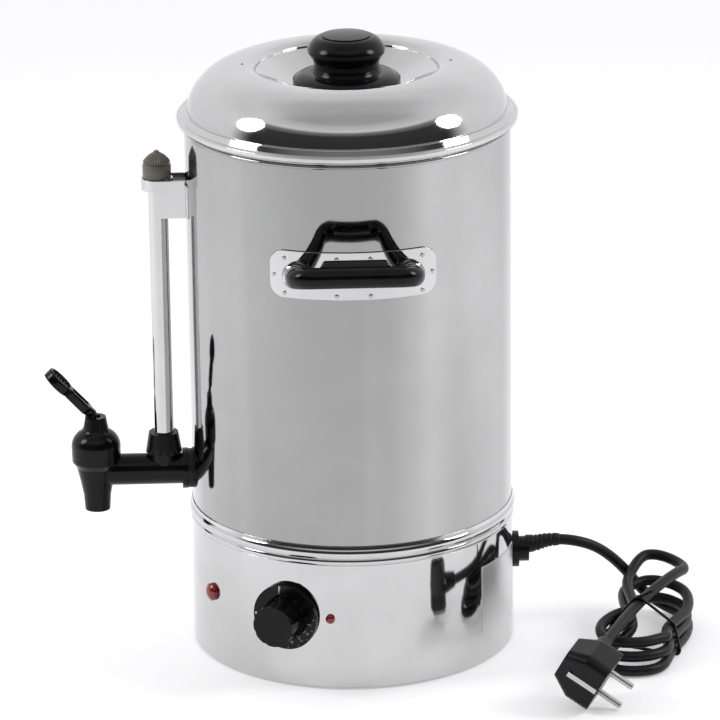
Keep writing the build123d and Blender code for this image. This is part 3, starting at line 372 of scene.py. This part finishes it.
# ---- side handles ----
HANDLE_Z = 315.0
HANDLE_RISE = math.radians(15.6)
LEG_REACH = 41.2
LEG_TIP = 2.9
GRIP_REACH = 55.5
GRIP_R = 7.5
GRIP_BEND_R = 13.0
GRIP_END_ROUND = 2.0
GRIP_PITCH = 1.3
GRIP_SIDES = 40
# the finger ledge: its height, half length, end fade, and the place and half width of its swell round
# the grip in degrees
LEDGE_H = 6.2
LEDGE_HALF = 24.0
LEDGE_FADE = 3.2
LEDGE_AT = 128.0
LEDGE_SPREAD = 26.0


def grip_mesh(name):
    """Moulded grip: a bent bar with a finger ledge along its inner side."""
    corners = [mm(LEG_TIP, LEG_REACH, 0), mm(GRIP_REACH, LEG_REACH, 0)]
    corners += [mm(GRIP_REACH, -LEG_REACH, 0), mm(LEG_TIP, -LEG_REACH, 0)]
    path = spread(rounded_path(corners, GRIP_BEND_R * MM, 12), GRIP_PITCH * MM)
    upright = Vector((0, 0, 1))
    loops = []
    for index, here in enumerate(path):
        before = path[max(0, index - 1)]
        after = path[min(len(path) - 1, index + 1)]
        along = (after - before).normalized()
        inward = along.cross(upright)
        from_end = min(index, len(path) - 1 - index) * GRIP_PITCH
        soft = min(1.0, from_end / GRIP_END_ROUND)
        radius = GRIP_R * (0.88 + 0.12 * math.sqrt(1 - (1 - soft) ** 2))
        from_middle = abs(here.y) / MM
        ledge = 0.0
        if here.x > (GRIP_REACH - 2) * MM:
            t = max(0.0, min(1.0, (LEDGE_HALF - from_middle) / LEDGE_FADE))
            ledge = math.sqrt(max(0.0, 1 - (1 - t) ** 2))
        loop = []
        for step in range(GRIP_SIDES):
            a = math.tau * step / GRIP_SIDES
            lift = math.exp(-((math.degrees(a) - LEDGE_AT) / LEDGE_SPREAD) ** 4)
            reach = radius + LEDGE_H * ledge * lift
            loop.append(here + (inward * -math.cos(a) + upright * math.sin(a)) * reach * MM)
        loops.append(loop)
    return loops_mesh(name, loops)


def on_handle(turn):
    """Place of a handle, whose legs rise outwards from the tank's face."""
    lean = Matrix.Rotation(-HANDLE_RISE, 4, "Y")
    return Matrix.Rotation(turn, 4, "Z") @ Matrix.Translation(mm(TANK_R, 0, HANDLE_Z)) @ lean


def both_handles(name, make):
    """One mesh that holds a handle's piece at the front and again at the rear."""
    found = []
    for turn in (0.0, math.pi):
        mesh = make(name + "_one")
        mesh.transform(on_handle(turn))
        found.append(mesh)
    return joined(name, found)


def ferrule_mesh(name):
    """Two spun ferrules, rounded like a cap round each leg."""
    outline = [(2.6, -7.6), (9.0, -7.6), (9.55, -5.0), (9.5, -2.6), (8.9, -0.6), (7.9, 1.2), (7.55, 2.4)]
    outline += [(7.0, 2.9), (2.6, 2.9)]
    found = []
    for side in (1, -1):
        place = Matrix.Translation(mm(0, side * LEG_REACH, 0)) @ Matrix.Rotation(math.pi / 2, 4, "Y")
        found.append(lathe(name, outline + outline[:1], 48, place))
    return joined(name, found)


def smooth_piece(name, mesh, node, slot, body=URN):
    """A piece with its material, which takes the place of a CAD node if one is named."""
    piece = add_piece(name, mesh, body)
    mesh.materials.append(MATERIALS[slot])
    if node:
        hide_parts(node)
    return piece


smooth_piece("grips_moulded", both_handles("grips_moulded", grip_mesh), "handle_grips", "black_plastic")
smooth_piece("ferrules_spun", both_handles("ferrules_spun", ferrule_mesh), "handle_ferrules",
             "polished_steel")

# rivets of the handle's backing plate: how far sideways and up from the plate's middle each pair sits
PLATE_OUT_R = 119.25
PLATE_Z = HANDLE_Z - 1
RIVETS = ((49.0, 12.0), (49.0, -14.0), (56.2, -1.0), (11.9, 12.8), (11.9, -14.7))
RIVET_OUTLINE = [(0.0, -0.5), (1.75, -0.5), (1.75, 0.05), (1.6, 0.22), (1.0, 0.4), (0.0, 0.5)]


def rivets_mesh(name):
    found = []
    for turn in (0.0, math.pi):
        for y, z in RIVETS:
            for side in (1, -1):
                azimuth = math.asin(side * y / PLATE_OUT_R)
                on_plate = Matrix.Translation(mm(PLATE_OUT_R, 0, PLATE_Z + z))
                on_plate = on_plate @ Matrix.Rotation(math.pi / 2, 4, "Y")
                place = Matrix.Rotation(turn + azimuth, 4, "Z") @ on_plate
                found.append(lathe(name, RIVET_OUTLINE, 20, place))
    return joined(name, found)


smooth_piece("plate_rivets", rivets_mesh("plate_rivets"), None, "spring_steel")

# ---- sight gauge: knurled cap ----
GAUGE_Y = -138.4
BRACKET_TOP = 355.0


def fluted(name, outline, flutes, deep_from, deep_to, depth, steps, place):
    """Turned mesh whose side has flutes between two heights."""
    loops = []
    for radius, height in outline:
        loop = []
        inside = deep_from <= height <= deep_to
        for step in range(steps):
            a = math.tau * step / steps
            cut = depth * (0.5 + 0.5 * math.cos(flutes * a)) ** 2 if inside else 0.0
            reach = radius - cut
            loop.append(place @ mm(reach * math.cos(a), reach * math.sin(a), height))
        loops.append(loop)
    return loops_mesh(name, loops)


# radius and height over the bracket's top: spigot, barrel, groove, knurled cone and tip
CAP = [(5.4, -5.4), (6.6, -5.4), (6.6, -0.05), (9.9, -0.05), (10.35, 0.4), (10.35, 9.6), (9.9, 10.1)]
CAP += [(8.7, 10.2), (8.6, 11.3), (9.5, 11.5), (9.9, 11.9), (9.3, 13.2), (7.6, 15.2), (5.4, 17.1)]
CAP += [(3.0, 18.6), (2.2, 18.9), (1.9, 19.9), (1.2, 20.35), (0.05, 20.4)]
KNURL_FROM = 11.4
KNURL_TO = 18.0
at_gauge = Matrix.Translation(mm(0, GAUGE_Y, BRACKET_TOP))
cap_mesh = fluted("cap_knurled", CAP, 30, KNURL_FROM, KNURL_TO, 0.75, 240, at_gauge)
smooth_piece("cap_knurled", cap_mesh, "gauge_cap", "brown_plastic")

# ---- mains cord: one spline from the gland to the hank, round its turns and on to the plug ----
CORD_D = 8.0
CORD_LEAD = [
    (0, 111.1, 64.5), (0, 132.1, 64.5), (0, 146.1, 68.5), (0, 163.1, 67.5), (-4, 180.1, 61),
    (-10, 194.1, 49), (-17, 207.1, 33), (-21, 218.1, 17), (-21, 232, 6), (-9, 243.5, 4.4), (8, 249, 4.4),
    (30, 247, 4.4),
]
CORD_OUT = [
    (12, 240, 44), (31, 227, 43), (48, 215, 40.5), (65, 205, 38), (84, 195, 36), (102.2, 187, 34.7),
    (122.2, 178, 32.5),
]
# each turn: far end, its left and right sides, near end, its left and right sides, then its heights at
# the far left, far end, far right, tie right, near end and tie left
TURNS = [
    (-10, 205, 247, 100, 180, 223, 14, 15, 14, 4.5, 4.5, 13),
    (-15, 201, 248.5, 94, 179, 224, 24, 27, 24, 13, 13.3, 22),
    (-22, 204, 248, 88, 178, 223, 34, 45, 41, 21.5, 22, 30.5),
]


def cord_points():
    """Control points of the whole cord: its lead, a loop of 18 for each turn, and its way out."""
    points = list(CORD_LEAD)
    for turn, (far, fl, fr, near, nl, nr, z_fl, z_f, z_fr, z_tr, z_n, z_tl) in enumerate(TURNS):
        middle = (nl + nr) / 2
        points += [(51, 240 - 2 * turn, z_tr), (69, 231 - 2 * turn, z_tr), (84, nr + 4, (z_tr + z_n) / 2)]
        points += [(near - 1, nr - 1, z_n), (near + 7, middle + 9, z_n), (near + 7, middle - 9, z_n)]
        points += [(near - 1, nl + 1, z_n + 1), (near - 20, nl, z_n + 3)]
        points += [(near - 36, nl + 12, (z_n + z_tl) / 2 + 1)]
        points += [(50, 203 + 1.5 * turn, z_tl), (34, fl + 1, (z_fl + z_tl) / 2), (14, fl - 1, z_fl)]
        points += [(-4, fl + 1, z_fl + 1), (far - 1, fl + 12, z_f - 1), (far - 4, (fl + fr) / 2, z_f)]
        points += [(far + 2, fr - 9, (z_f + z_fr) / 2), (far + 18, fr + 1, z_fr), (30, fr - 1, z_fr - 3)]
    return points[:-1] + CORD_OUT


cord_curve = bpy.data.curves.new("mains_cord", "CURVE")
cord_curve.dimensions = "3D"
cord_curve.resolution_u = 8
spline = cord_curve.splines.new("NURBS")
route = cord_points()
spline.points.add(len(route) - 1)
for point, place in zip(spline.points, route):
    point.co = (*mm(*place), 1.0)
spline.order_u = 3
spline.use_endpoint_u = True
cord_curve.bevel_depth = CORD_D / 2 * MM
cord_curve.bevel_resolution = 6
cord_curve.use_fill_caps = True
mains_cord = bpy.data.objects.new("mains_cord", cord_curve)
bpy.context.scene.collection.objects.link(mains_cord)
cord_curve.materials.append(MATERIALS["rubber"])
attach(mains_cord, URN)
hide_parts("power_cord", "cord_hank")

# ---- strain relief and tie ----
def on_curve(points, pitch):
    """Points along the cord's own spline, which passes the middles of its control runs."""
    along = []
    middles = [(a + b) / 2 for a, b in zip(points, points[1:])]
    for index in range(1, len(points) - 1):
        start = points[0] if index == 1 else middles[index - 1]
        stop = points[-1] if index == len(points) - 2 else middles[index]
        for step in range(12):
            t = step / 12
            along.append(start * (1 - t) ** 2 + points[index] * 2 * t * (1 - t) + stop * t**2)
    return spread(along + [points[-1]], pitch)


LINE_PITCH = 0.8 * MM
cord_line = on_curve([mm(*place) for place in route], LINE_PITCH)
SLEEVE_FROM = 0.1285
SLEEVE_LENGTH = 0.027
SLEEVE_R = 6.9
SLEEVE_TAPER = 2.4
SLOT_DEPTH = 0.55
SLEEVE_EDGE = 0.5
lead_line = cord_line[:80]
sleeve_path = [p for p in lead_line if p.y >= SLEEVE_FROM][: int(SLEEVE_LENGTH / LINE_PITCH)]


def sleeve_radius(share, angle):
    """Tapered sleeve with a row of slots cut round it and a softened end."""
    taper = SLEEVE_R - SLEEVE_TAPER * share
    slot = SLOT_DEPTH if 0.2 < share < 0.86 and int(share * 33) % 4 in (0, 1) else 0.0
    edge = SLEEVE_EDGE * max(0.0, (share - 0.94) / 0.06)
    return (taper - slot - edge) * MM


smooth_piece("strain_relief", pipe("strain_relief", sleeve_path, sleeve_radius, 40), None, "rubber")

TIE_AT = mm(63, 217.1, 0)
TIE_TURN = math.radians(-12)
tie_along = Vector((math.cos(TIE_TURN), math.sin(TIE_TURN), 0))
tie_across = Vector((-math.sin(TIE_TURN), math.cos(TIE_TURN), 0))
# the stretches at the cord's two ends that the tie doesn't hold, in points, and how far across it reaches
LEAD_POINTS = 160
OUT_POINTS = 60
TIE_REACH = 0.03


def strands_at_tie():
    """Where the cord's strands pass through the tie's plane: across it and above the floor."""
    found = []
    for a, b in zip(cord_line[LEAD_POINTS:], cord_line[LEAD_POINTS + 1:-OUT_POINTS]):
        from_a = (a - TIE_AT).dot(tie_along)
        from_b = (b - TIE_AT).dot(tie_along)
        if (from_a < 0) != (from_b < 0) and abs((a - TIE_AT).dot(tie_across)) < TIE_REACH:
            found.append(((a - TIE_AT).dot(tie_across), a.z))
    return found


def hull(points):
    """Convex outline of flat points, anticlockwise."""
    points = sorted(set(points))
    ends = []
    for row in (points, points[::-1]):
        chain = []
        for p in row:
            while len(chain) > 1:
                (ax, ay), (bx, by) = chain[-2], chain[-1]
                if (bx - ax) * (p[1] - ay) - (by - ay) * (p[0] - ax) > 0:
                    break
                chain.pop()
            chain.append(p)
        ends += chain[:-1]
    return ends


TIE_R = 0.0011
TWIST_R = 0.0008
TWIST_COIL_R = 0.0009
TWIST_TURNS = 4
TWIST_STEPS = 40
TWIST_SPREAD = 0.00028
ring_points = []
for across_tie, height in strands_at_tie():
    for step in range(32):
        a = math.tau * step / 32
        reach = CORD_D / 2 * MM + TIE_R
        ring_points.append((across_tie + reach * math.cos(a), max(TIE_R, height + reach * math.sin(a))))
outline = hull([(round(x, 6), round(z, 6)) for x, z in ring_points])
tie_corners = [TIE_AT + tie_across * x + Vector((0, 0, z)) for x, z in outline + outline[:1]]
tie_path = spread(tie_corners, 1.0 * MM)[:-1]


def tie_radius(share, angle):
    """The tie is a little wider than it is thick."""
    return TIE_R * (1.25 if math.cos(angle) ** 2 > 0.5 else 1.0)


tie_loop = pipe("cord_tie_wire", tie_path, tie_radius, 16, True, tie_along)
tie_top = max(tie_path, key=lambda p: p.z)
twist_path = []
for step in range(TWIST_STEPS):
    a = math.tau * step / TWIST_STEPS * TWIST_TURNS
    rise = 0.0002 + step * TWIST_SPREAD
    coil = tie_across * (TWIST_COIL_R * math.cos(a) + rise) + tie_along * TWIST_COIL_R * math.sin(a)
    twist_path.append(tie_top + Vector((0, 0, rise * 0.55)) + coil)
other_path = []
for step, p in enumerate(twist_path):
    from_top = p - tie_top
    turned = tie_along * 2 * from_top.dot(tie_along)
    turned += tie_across * 2 * (from_top.dot(tie_across) - step * TWIST_SPREAD)
    other_path.append(p - turned)
twists = [pipe("twist", way, lambda share, angle: TWIST_R, 10) for way in (twist_path, other_path)]
tie_mesh = joined("cord_tie_wire", [tie_loop] + twists)
tie_piece = smooth_piece("cord_tie_wire", tie_mesh, "cord_tie", "black_matte")

# ---- tap lever: an oval paddle with a raised rim, ribs in its dish and a slot below ----
# u runs out along the lever from its pivot, w across it, and n square to it and up
PIVOT = mm(0, -193.0, 168.5)
SLOPE = math.radians(47.0)
lever_frame = Matrix(((0, 1, 0, 0), (-math.cos(SLOPE), 0, math.sin(SLOPE), 0),
                      (math.sin(SLOPE), 0, math.cos(SLOPE), 0), (0, 0, 0, 1)))
lever_frame = Matrix.Translation(PIVOT) @ lever_frame
LEVER_LOW = 2.35
LEVER_TOP = 9.55
LEVER_ROOT = 2.6
LEVER_END = 49.0
LEVER_EDGE = 1.5
LEVER_PITCH = 0.35
DISH_DEPTH = 2.5
RIB_HEIGHT = 1.5
RIB_PITCH = 2.6
SLOT_DOWN = 3.0
CHEEK_IN = 1.65
CHEEK_OUT = 3.2


def eased(value, low, high):
    t = max(0.0, min(1.0, (value - low) / (high - low)))
    return t * t * (3 - 2 * t)


def lever_half(u):
    """Half width of the lever at a distance from its pivot, in millimetres."""
    arm = 3.2 + 2.7 * eased(u, 6.0, 9.5) - 0.4 * eased(u, 12.0, 26.0)
    paddle = 9.5 * math.sqrt(max(0.0, 1 - ((u - 37.4) / 11.6) ** 2))
    if u > 32.0:
        return paddle
    return max(arm, paddle) if u < 26.0 else max(arm * (1 - eased(u, 26.0, 32.0)), paddle)


def lever_dip(u, w, half):
    """How far the top is sunk: the dish in the paddle with its ribs, and the slot in the arm."""
    side = half - 1.9 - abs(w)
    dish = eased(side, 0.0, 0.5) * eased(u, 28.6, 29.4) * (1 - eased(u, 46.0, 46.9))
    rib = 0.5 + 0.5 * math.cos((u - 29.0) * math.tau / RIB_PITCH)
    slot = eased(2.9 - abs(w), 0.0, 0.5) * eased(u, 10.2, 10.9) * (1 - eased(u, 25.4, 26.2))
    return dish * (DISH_DEPTH - RIB_HEIGHT * rib**3) + slot * SLOT_DOWN


def lever_mesh(name):
    loops = []
    across_steps = 30
    u = LEVER_ROOT
    while u < LEVER_END - 0.02:
        half = max(0.25, lever_half(u))
        edge = min(LEVER_EDGE, half)
        top = []
        bottom = []
        for step in range(across_steps + 1):
            w = half * math.sin(math.pi * (step / across_steps - 0.5))
            near_side = max(0.0, edge - (half - abs(w)))
            fall = edge - math.sqrt(max(0.0, edge**2 - near_side**2))
            top.append((w, LEVER_TOP - fall - lever_dip(u, w, half)))
            bottom.append((w, LEVER_LOW + fall))
        loops.append([lever_frame @ mm(u, w, n) for w, n in top + bottom[::-1]])
        u += LEVER_PITCH
    return loops_mesh(name, loops)


def slab(name, outline, x_from, x_to):
    """Flat plate across X from an outline of (y, z) corners in metres."""
    count = len(outline)
    points = [Vector((x * MM, y, z)) for x in (x_from, x_to) for y, z in outline]
    faces = [tuple(range(count)), tuple(range(2 * count - 1, count - 1, -1))]
    faces += [(i, (i + 1) % count, count + (i + 1) % count, count + i) for i in range(count)]
    return mesh_of(name, points, faces)


def cheeks_mesh(name):
    """Two cheeks of the lever's fork: the outline wraps the pivot, the link and the lever's root."""
    around = []
    for y, z, reach in ((PIVOT.y, PIVOT.z, 2.8), (PIVOT.y + 4.5 * MM, PIVOT.z, 2.2)):
        for step in range(20):
            a = math.tau * step / 20
            around.append((round(y + reach * MM * math.cos(a), 7), round(z + reach * MM * math.sin(a), 7)))
    for u, n in ((5.5, 1.5), (5.5, 4.5), (2.0, 9.3)):
        spot = lever_frame @ mm(u, 0, n)
        around.append((round(spot.y, 7), round(spot.z, 7)))
    outline = hull(around)
    sides = ((CHEEK_IN, CHEEK_OUT), (-CHEEK_OUT, -CHEEK_IN))
    return joined(name, [slab(name, outline, x_from, x_to) for x_from, x_to in sides])


LEVER = "lever"
smooth_piece("lever_moulded", joined("lever_moulded", [lever_mesh("paddle"), cheeks_mesh("cheeks")]),
             "tap_lever", "black_plastic", LEVER)

# ---- dial: pointer, dot and plain numerals on its flange ----
DIAL = "dial"
DIAL_AZ = math.radians(-25.3)
outward = Vector((math.cos(DIAL_AZ), math.sin(DIAL_AZ), 0))
rightward = Vector((-math.sin(DIAL_AZ), math.cos(DIAL_AZ), 0))
dial_centre = mm(0, 0, 55.0) + outward * (SKIRT_R + 5.0) * MM


def on_dial(x, y):
    return dial_centre + rightward * x * MM + Vector((0, 0, y * MM)) + outward * 0.00008


STROKES = {
    1: [[(-0.25, 0.7), (0.1, 1.0), (0.1, 0.0)]],
    2: [[(-0.3, 0.8), (-0.1, 1.0), (0.2, 0.95), (0.3, 0.7), (-0.3, 0.0), (0.35, 0.0)]],
    3: [[(-0.3, 1.0), (0.3, 1.0), (0.0, 0.58), (0.3, 0.4), (0.2, 0.05), (-0.1, 0.0), (-0.3, 0.15)]],
    4: [[(0.15, 0.0), (0.15, 1.0), (-0.35, 0.3), (0.4, 0.3)]],
    5: [[(0.3, 1.0), (-0.25, 1.0), (-0.3, 0.55), (0.1, 0.6), (0.32, 0.35), (0.15, 0.0), (-0.3, 0.05)]],
}
DIGIT_H = 3.4
DIGIT_AT_R = 17.8
DIGITS_FROM = -8.0
DIGIT_STEP = -21.5
DOT_AT_R = 22.9
DOT_TURN = 0.18
DOT_R = 0.42 * MM
STROKE_R = 0.26 * MM


def round_mark(name, x, y, radius, sides, rise):
    """A raised dot on the dial's flange."""
    ends = [on_dial(x, y) - outward * 1e-4, on_dial(x, y) + outward * rise]
    return pipe(name, ends, lambda share, angle: radius, sides)


def pointer_radius(share, angle):
    return (0.8 - 0.55 * share) * MM


def marks_mesh(name):
    """Numerals and dots round the flange, and the pointer, a little proud of its face."""
    meshes = []
    for digit, strokes in STROKES.items():
        angle = math.radians(DIGITS_FROM + DIGIT_STEP * (digit - 1))
        turn = angle - math.pi / 2
        for stroke in strokes:
            way = []
            for x, y in stroke:
                gx = x * DIGIT_H
                gy = DIGIT_AT_R + y * DIGIT_H
                flat_x = gx * math.cos(turn) - gy * math.sin(turn)
                flat_y = gx * math.sin(turn) + gy * math.cos(turn)
                way.append(on_dial(flat_x, flat_y))
            meshes.append(pipe(name, way, lambda share, angle: STROKE_R, 6, False, outward))
        dot_x = DOT_AT_R * math.cos(angle + DOT_TURN)
        dot_y = DOT_AT_R * math.sin(angle + DOT_TURN)
        meshes.append(round_mark(name, dot_x, dot_y, DOT_R, 10, 1e-4))
    meshes.append(round_mark(name, -22.4, 0.4, 1.0 * MM, 14, 1.5e-4))
    pointer = [on_dial(-3.6, 23.4), on_dial(-4.0, 20.0), on_dial(-4.3, 17.2)]
    meshes.append(pipe(name, pointer, pointer_radius, 10, False, outward))
    return joined(name, meshes)


smooth_piece("dial_marks", marks_mesh("dial_marks"), None, "nylon", DIAL)

# ---- camera, at the photograph's place ----
LENS = 250.4
TURN = math.radians(-1.5)
PITCH = 0.3245
YAW = 0.0019
ROLL = -0.0136
CAMERA_OUT = 3.4827
CAMERA_UP = 1.3836
forward = Vector((-math.cos(PITCH), 0, -math.sin(PITCH)))
across = Vector((0, 1, 0))
upward = Vector((-math.sin(PITCH), 0, math.cos(PITCH)))
aim = forward * math.cos(YAW) + across * math.sin(YAW)
side = across * math.cos(YAW) - forward * math.sin(YAW)
right = side * math.cos(ROLL) + upward * math.sin(ROLL)
top = upward * math.cos(ROLL) - side * math.sin(ROLL)
basis = Matrix((right, top, -aim)).transposed().to_4x4()
camera_data = bpy.data.cameras.new("camera")
camera_data.lens = LENS
camera_data.sensor_width = 36.0
camera_data.clip_end = 50.0
camera = bpy.data.objects.new("camera", camera_data)
bpy.context.scene.collection.objects.link(camera)
camera.matrix_world = Matrix.Rotation(TURN, 4, "Z") @ Matrix.Translation((CAMERA_OUT, 0, CAMERA_UP)) @ basis
bpy.context.scene.camera = camera

# ---- floor, world and lights ----
floor_mesh = mesh_of("floor", [(-30, -30, 0), (30, -30, 0), (30, 30, 0), (-30, 30, 0)], [(0, 1, 2, 3)])
floor = bpy.data.objects.new("floor", floor_mesh)
bpy.context.scene.collection.objects.link(floor)
floor_nodes = Nodes("floor")
floor_nodes.put(Base_Color=(0.94, 0.94, 0.95, 1), Roughness=0.9, Specular_IOR_Level=0.1)
floor_nodes.put(Emission_Color=(1, 1, 1, 1))
# what the floor gains where it is seen or mirrored, so that it is white and keeps its shadow
FLOOR_LIFT = 0.29
seen = floor_nodes.add("LightPath")
seen_or_mirrored = floor_nodes.add("Math", operation="MAXIMUM")
floor_nodes.join(seen.outputs["Is Camera Ray"], seen_or_mirrored.inputs[0])
floor_nodes.join(seen.outputs["Is Glossy Ray"], seen_or_mirrored.inputs[1])
shown = floor_nodes.add("Math", operation="MAXIMUM")
floor_nodes.join(seen_or_mirrored.outputs[0], shown.inputs[0])
floor_nodes.join(seen.outputs["Is Transmission Ray"], shown.inputs[1])
lift = floor_nodes.ranged(shown.outputs[0], 0.0, 1.0, 0.0, FLOOR_LIFT)
floor_nodes.join(lift, floor_nodes.shader.inputs["Emission Strength"])
floor_mesh.materials.append(floor_nodes.material)

world = bpy.data.worlds.new("studio")
bpy.context.scene.world = world
world.use_nodes = True
sky = world.node_tree


def sky_node(kind, **settings):
    node = sky.nodes.new("ShaderNode" + kind)
    for key, value in settings.items():
        setattr(node, key, value)
    return node


# a white backdrop behind and beside the urn, a dim room in front of it under a bright band and a
# greyer ceiling: each ramp runs from the horizon up to straight overhead
direction = sky_node("TexCoord")
parts = sky_node("SeparateXYZ")
sky.links.new(direction.outputs["Generated"], parts.inputs["Vector"])
BACKDROP = [(0.0, 0.96), (0.45, 1.0), (0.75, 0.90), (1.0, 0.60)]
ROOM = [(0.0, 0.04), (0.48, 0.05), (0.60, 0.22), (0.68, 0.85), (0.78, 0.72), (0.88, 0.52), (1.0, 0.50)]


def sky_ramp(levels):
    ramp = sky_node("ValToRGB")
    ramp.color_ramp.interpolation = "EASE"
    stops = ramp.color_ramp.elements
    while len(stops) < len(levels):
        stops.new(0.5)
    for stop, (place, level) in zip(stops, levels):
        stop.position = place
        stop.color = (level * 0.985, level * 0.985, level, 1)
    sky.links.new(parts.outputs["Z"], ramp.inputs["Fac"])
    return ramp.outputs["Color"]


in_front = sky_node("MapRange", interpolation_type="SMOOTHSTEP")
in_front.inputs["From Min"].default_value = -0.10
in_front.inputs["From Max"].default_value = 0.30
sky.links.new(parts.outputs["X"], in_front.inputs["Value"])
room_mix = sky_node("Mix", data_type="RGBA")
sky.links.new(in_front.outputs["Result"], room_mix.inputs["Factor"])
colours = [socket for socket in room_mix.inputs if socket.type == "RGBA"]
sky.links.new(sky_ramp(BACKDROP), colours[0])
sky.links.new(sky_ramp(ROOM), colours[1])
mixed_sky = [socket for socket in room_mix.outputs if socket.type == "RGBA"][0]
sky.links.new(mixed_sky, sky.nodes["Background"].inputs["Color"])
sky.nodes["Background"].inputs["Strength"].default_value = 1.0


SOFTBOX_WIDTH = 0.55
SOFTBOX_HEIGHT = 0.7
SOFTBOX_POWER = 8


def softbox(name, place, aim_at):
    """Elliptical studio light aimed at a place."""
    data = bpy.data.lights.new(name, "AREA")
    data.shape = "ELLIPSE"
    data.size = SOFTBOX_WIDTH
    data.size_y = SOFTBOX_HEIGHT
    data.energy = SOFTBOX_POWER
    lamp = bpy.data.objects.new(name, data)
    bpy.context.scene.collection.objects.link(lamp)
    heading = Vector(aim_at) - Vector(place)
    lamp.matrix_world = Matrix.Translation(place) @ heading.to_track_quat("-Z", "Y").to_matrix().to_4x4()


softbox("left", (0.25, -1.35, 1.10), (0, -0.1, 0.15))
softbox("right", (0.25, 1.45, 1.10), (0, 0.1, 0.15))

bpy.context.scene.view_settings.view_transform = "Standard"
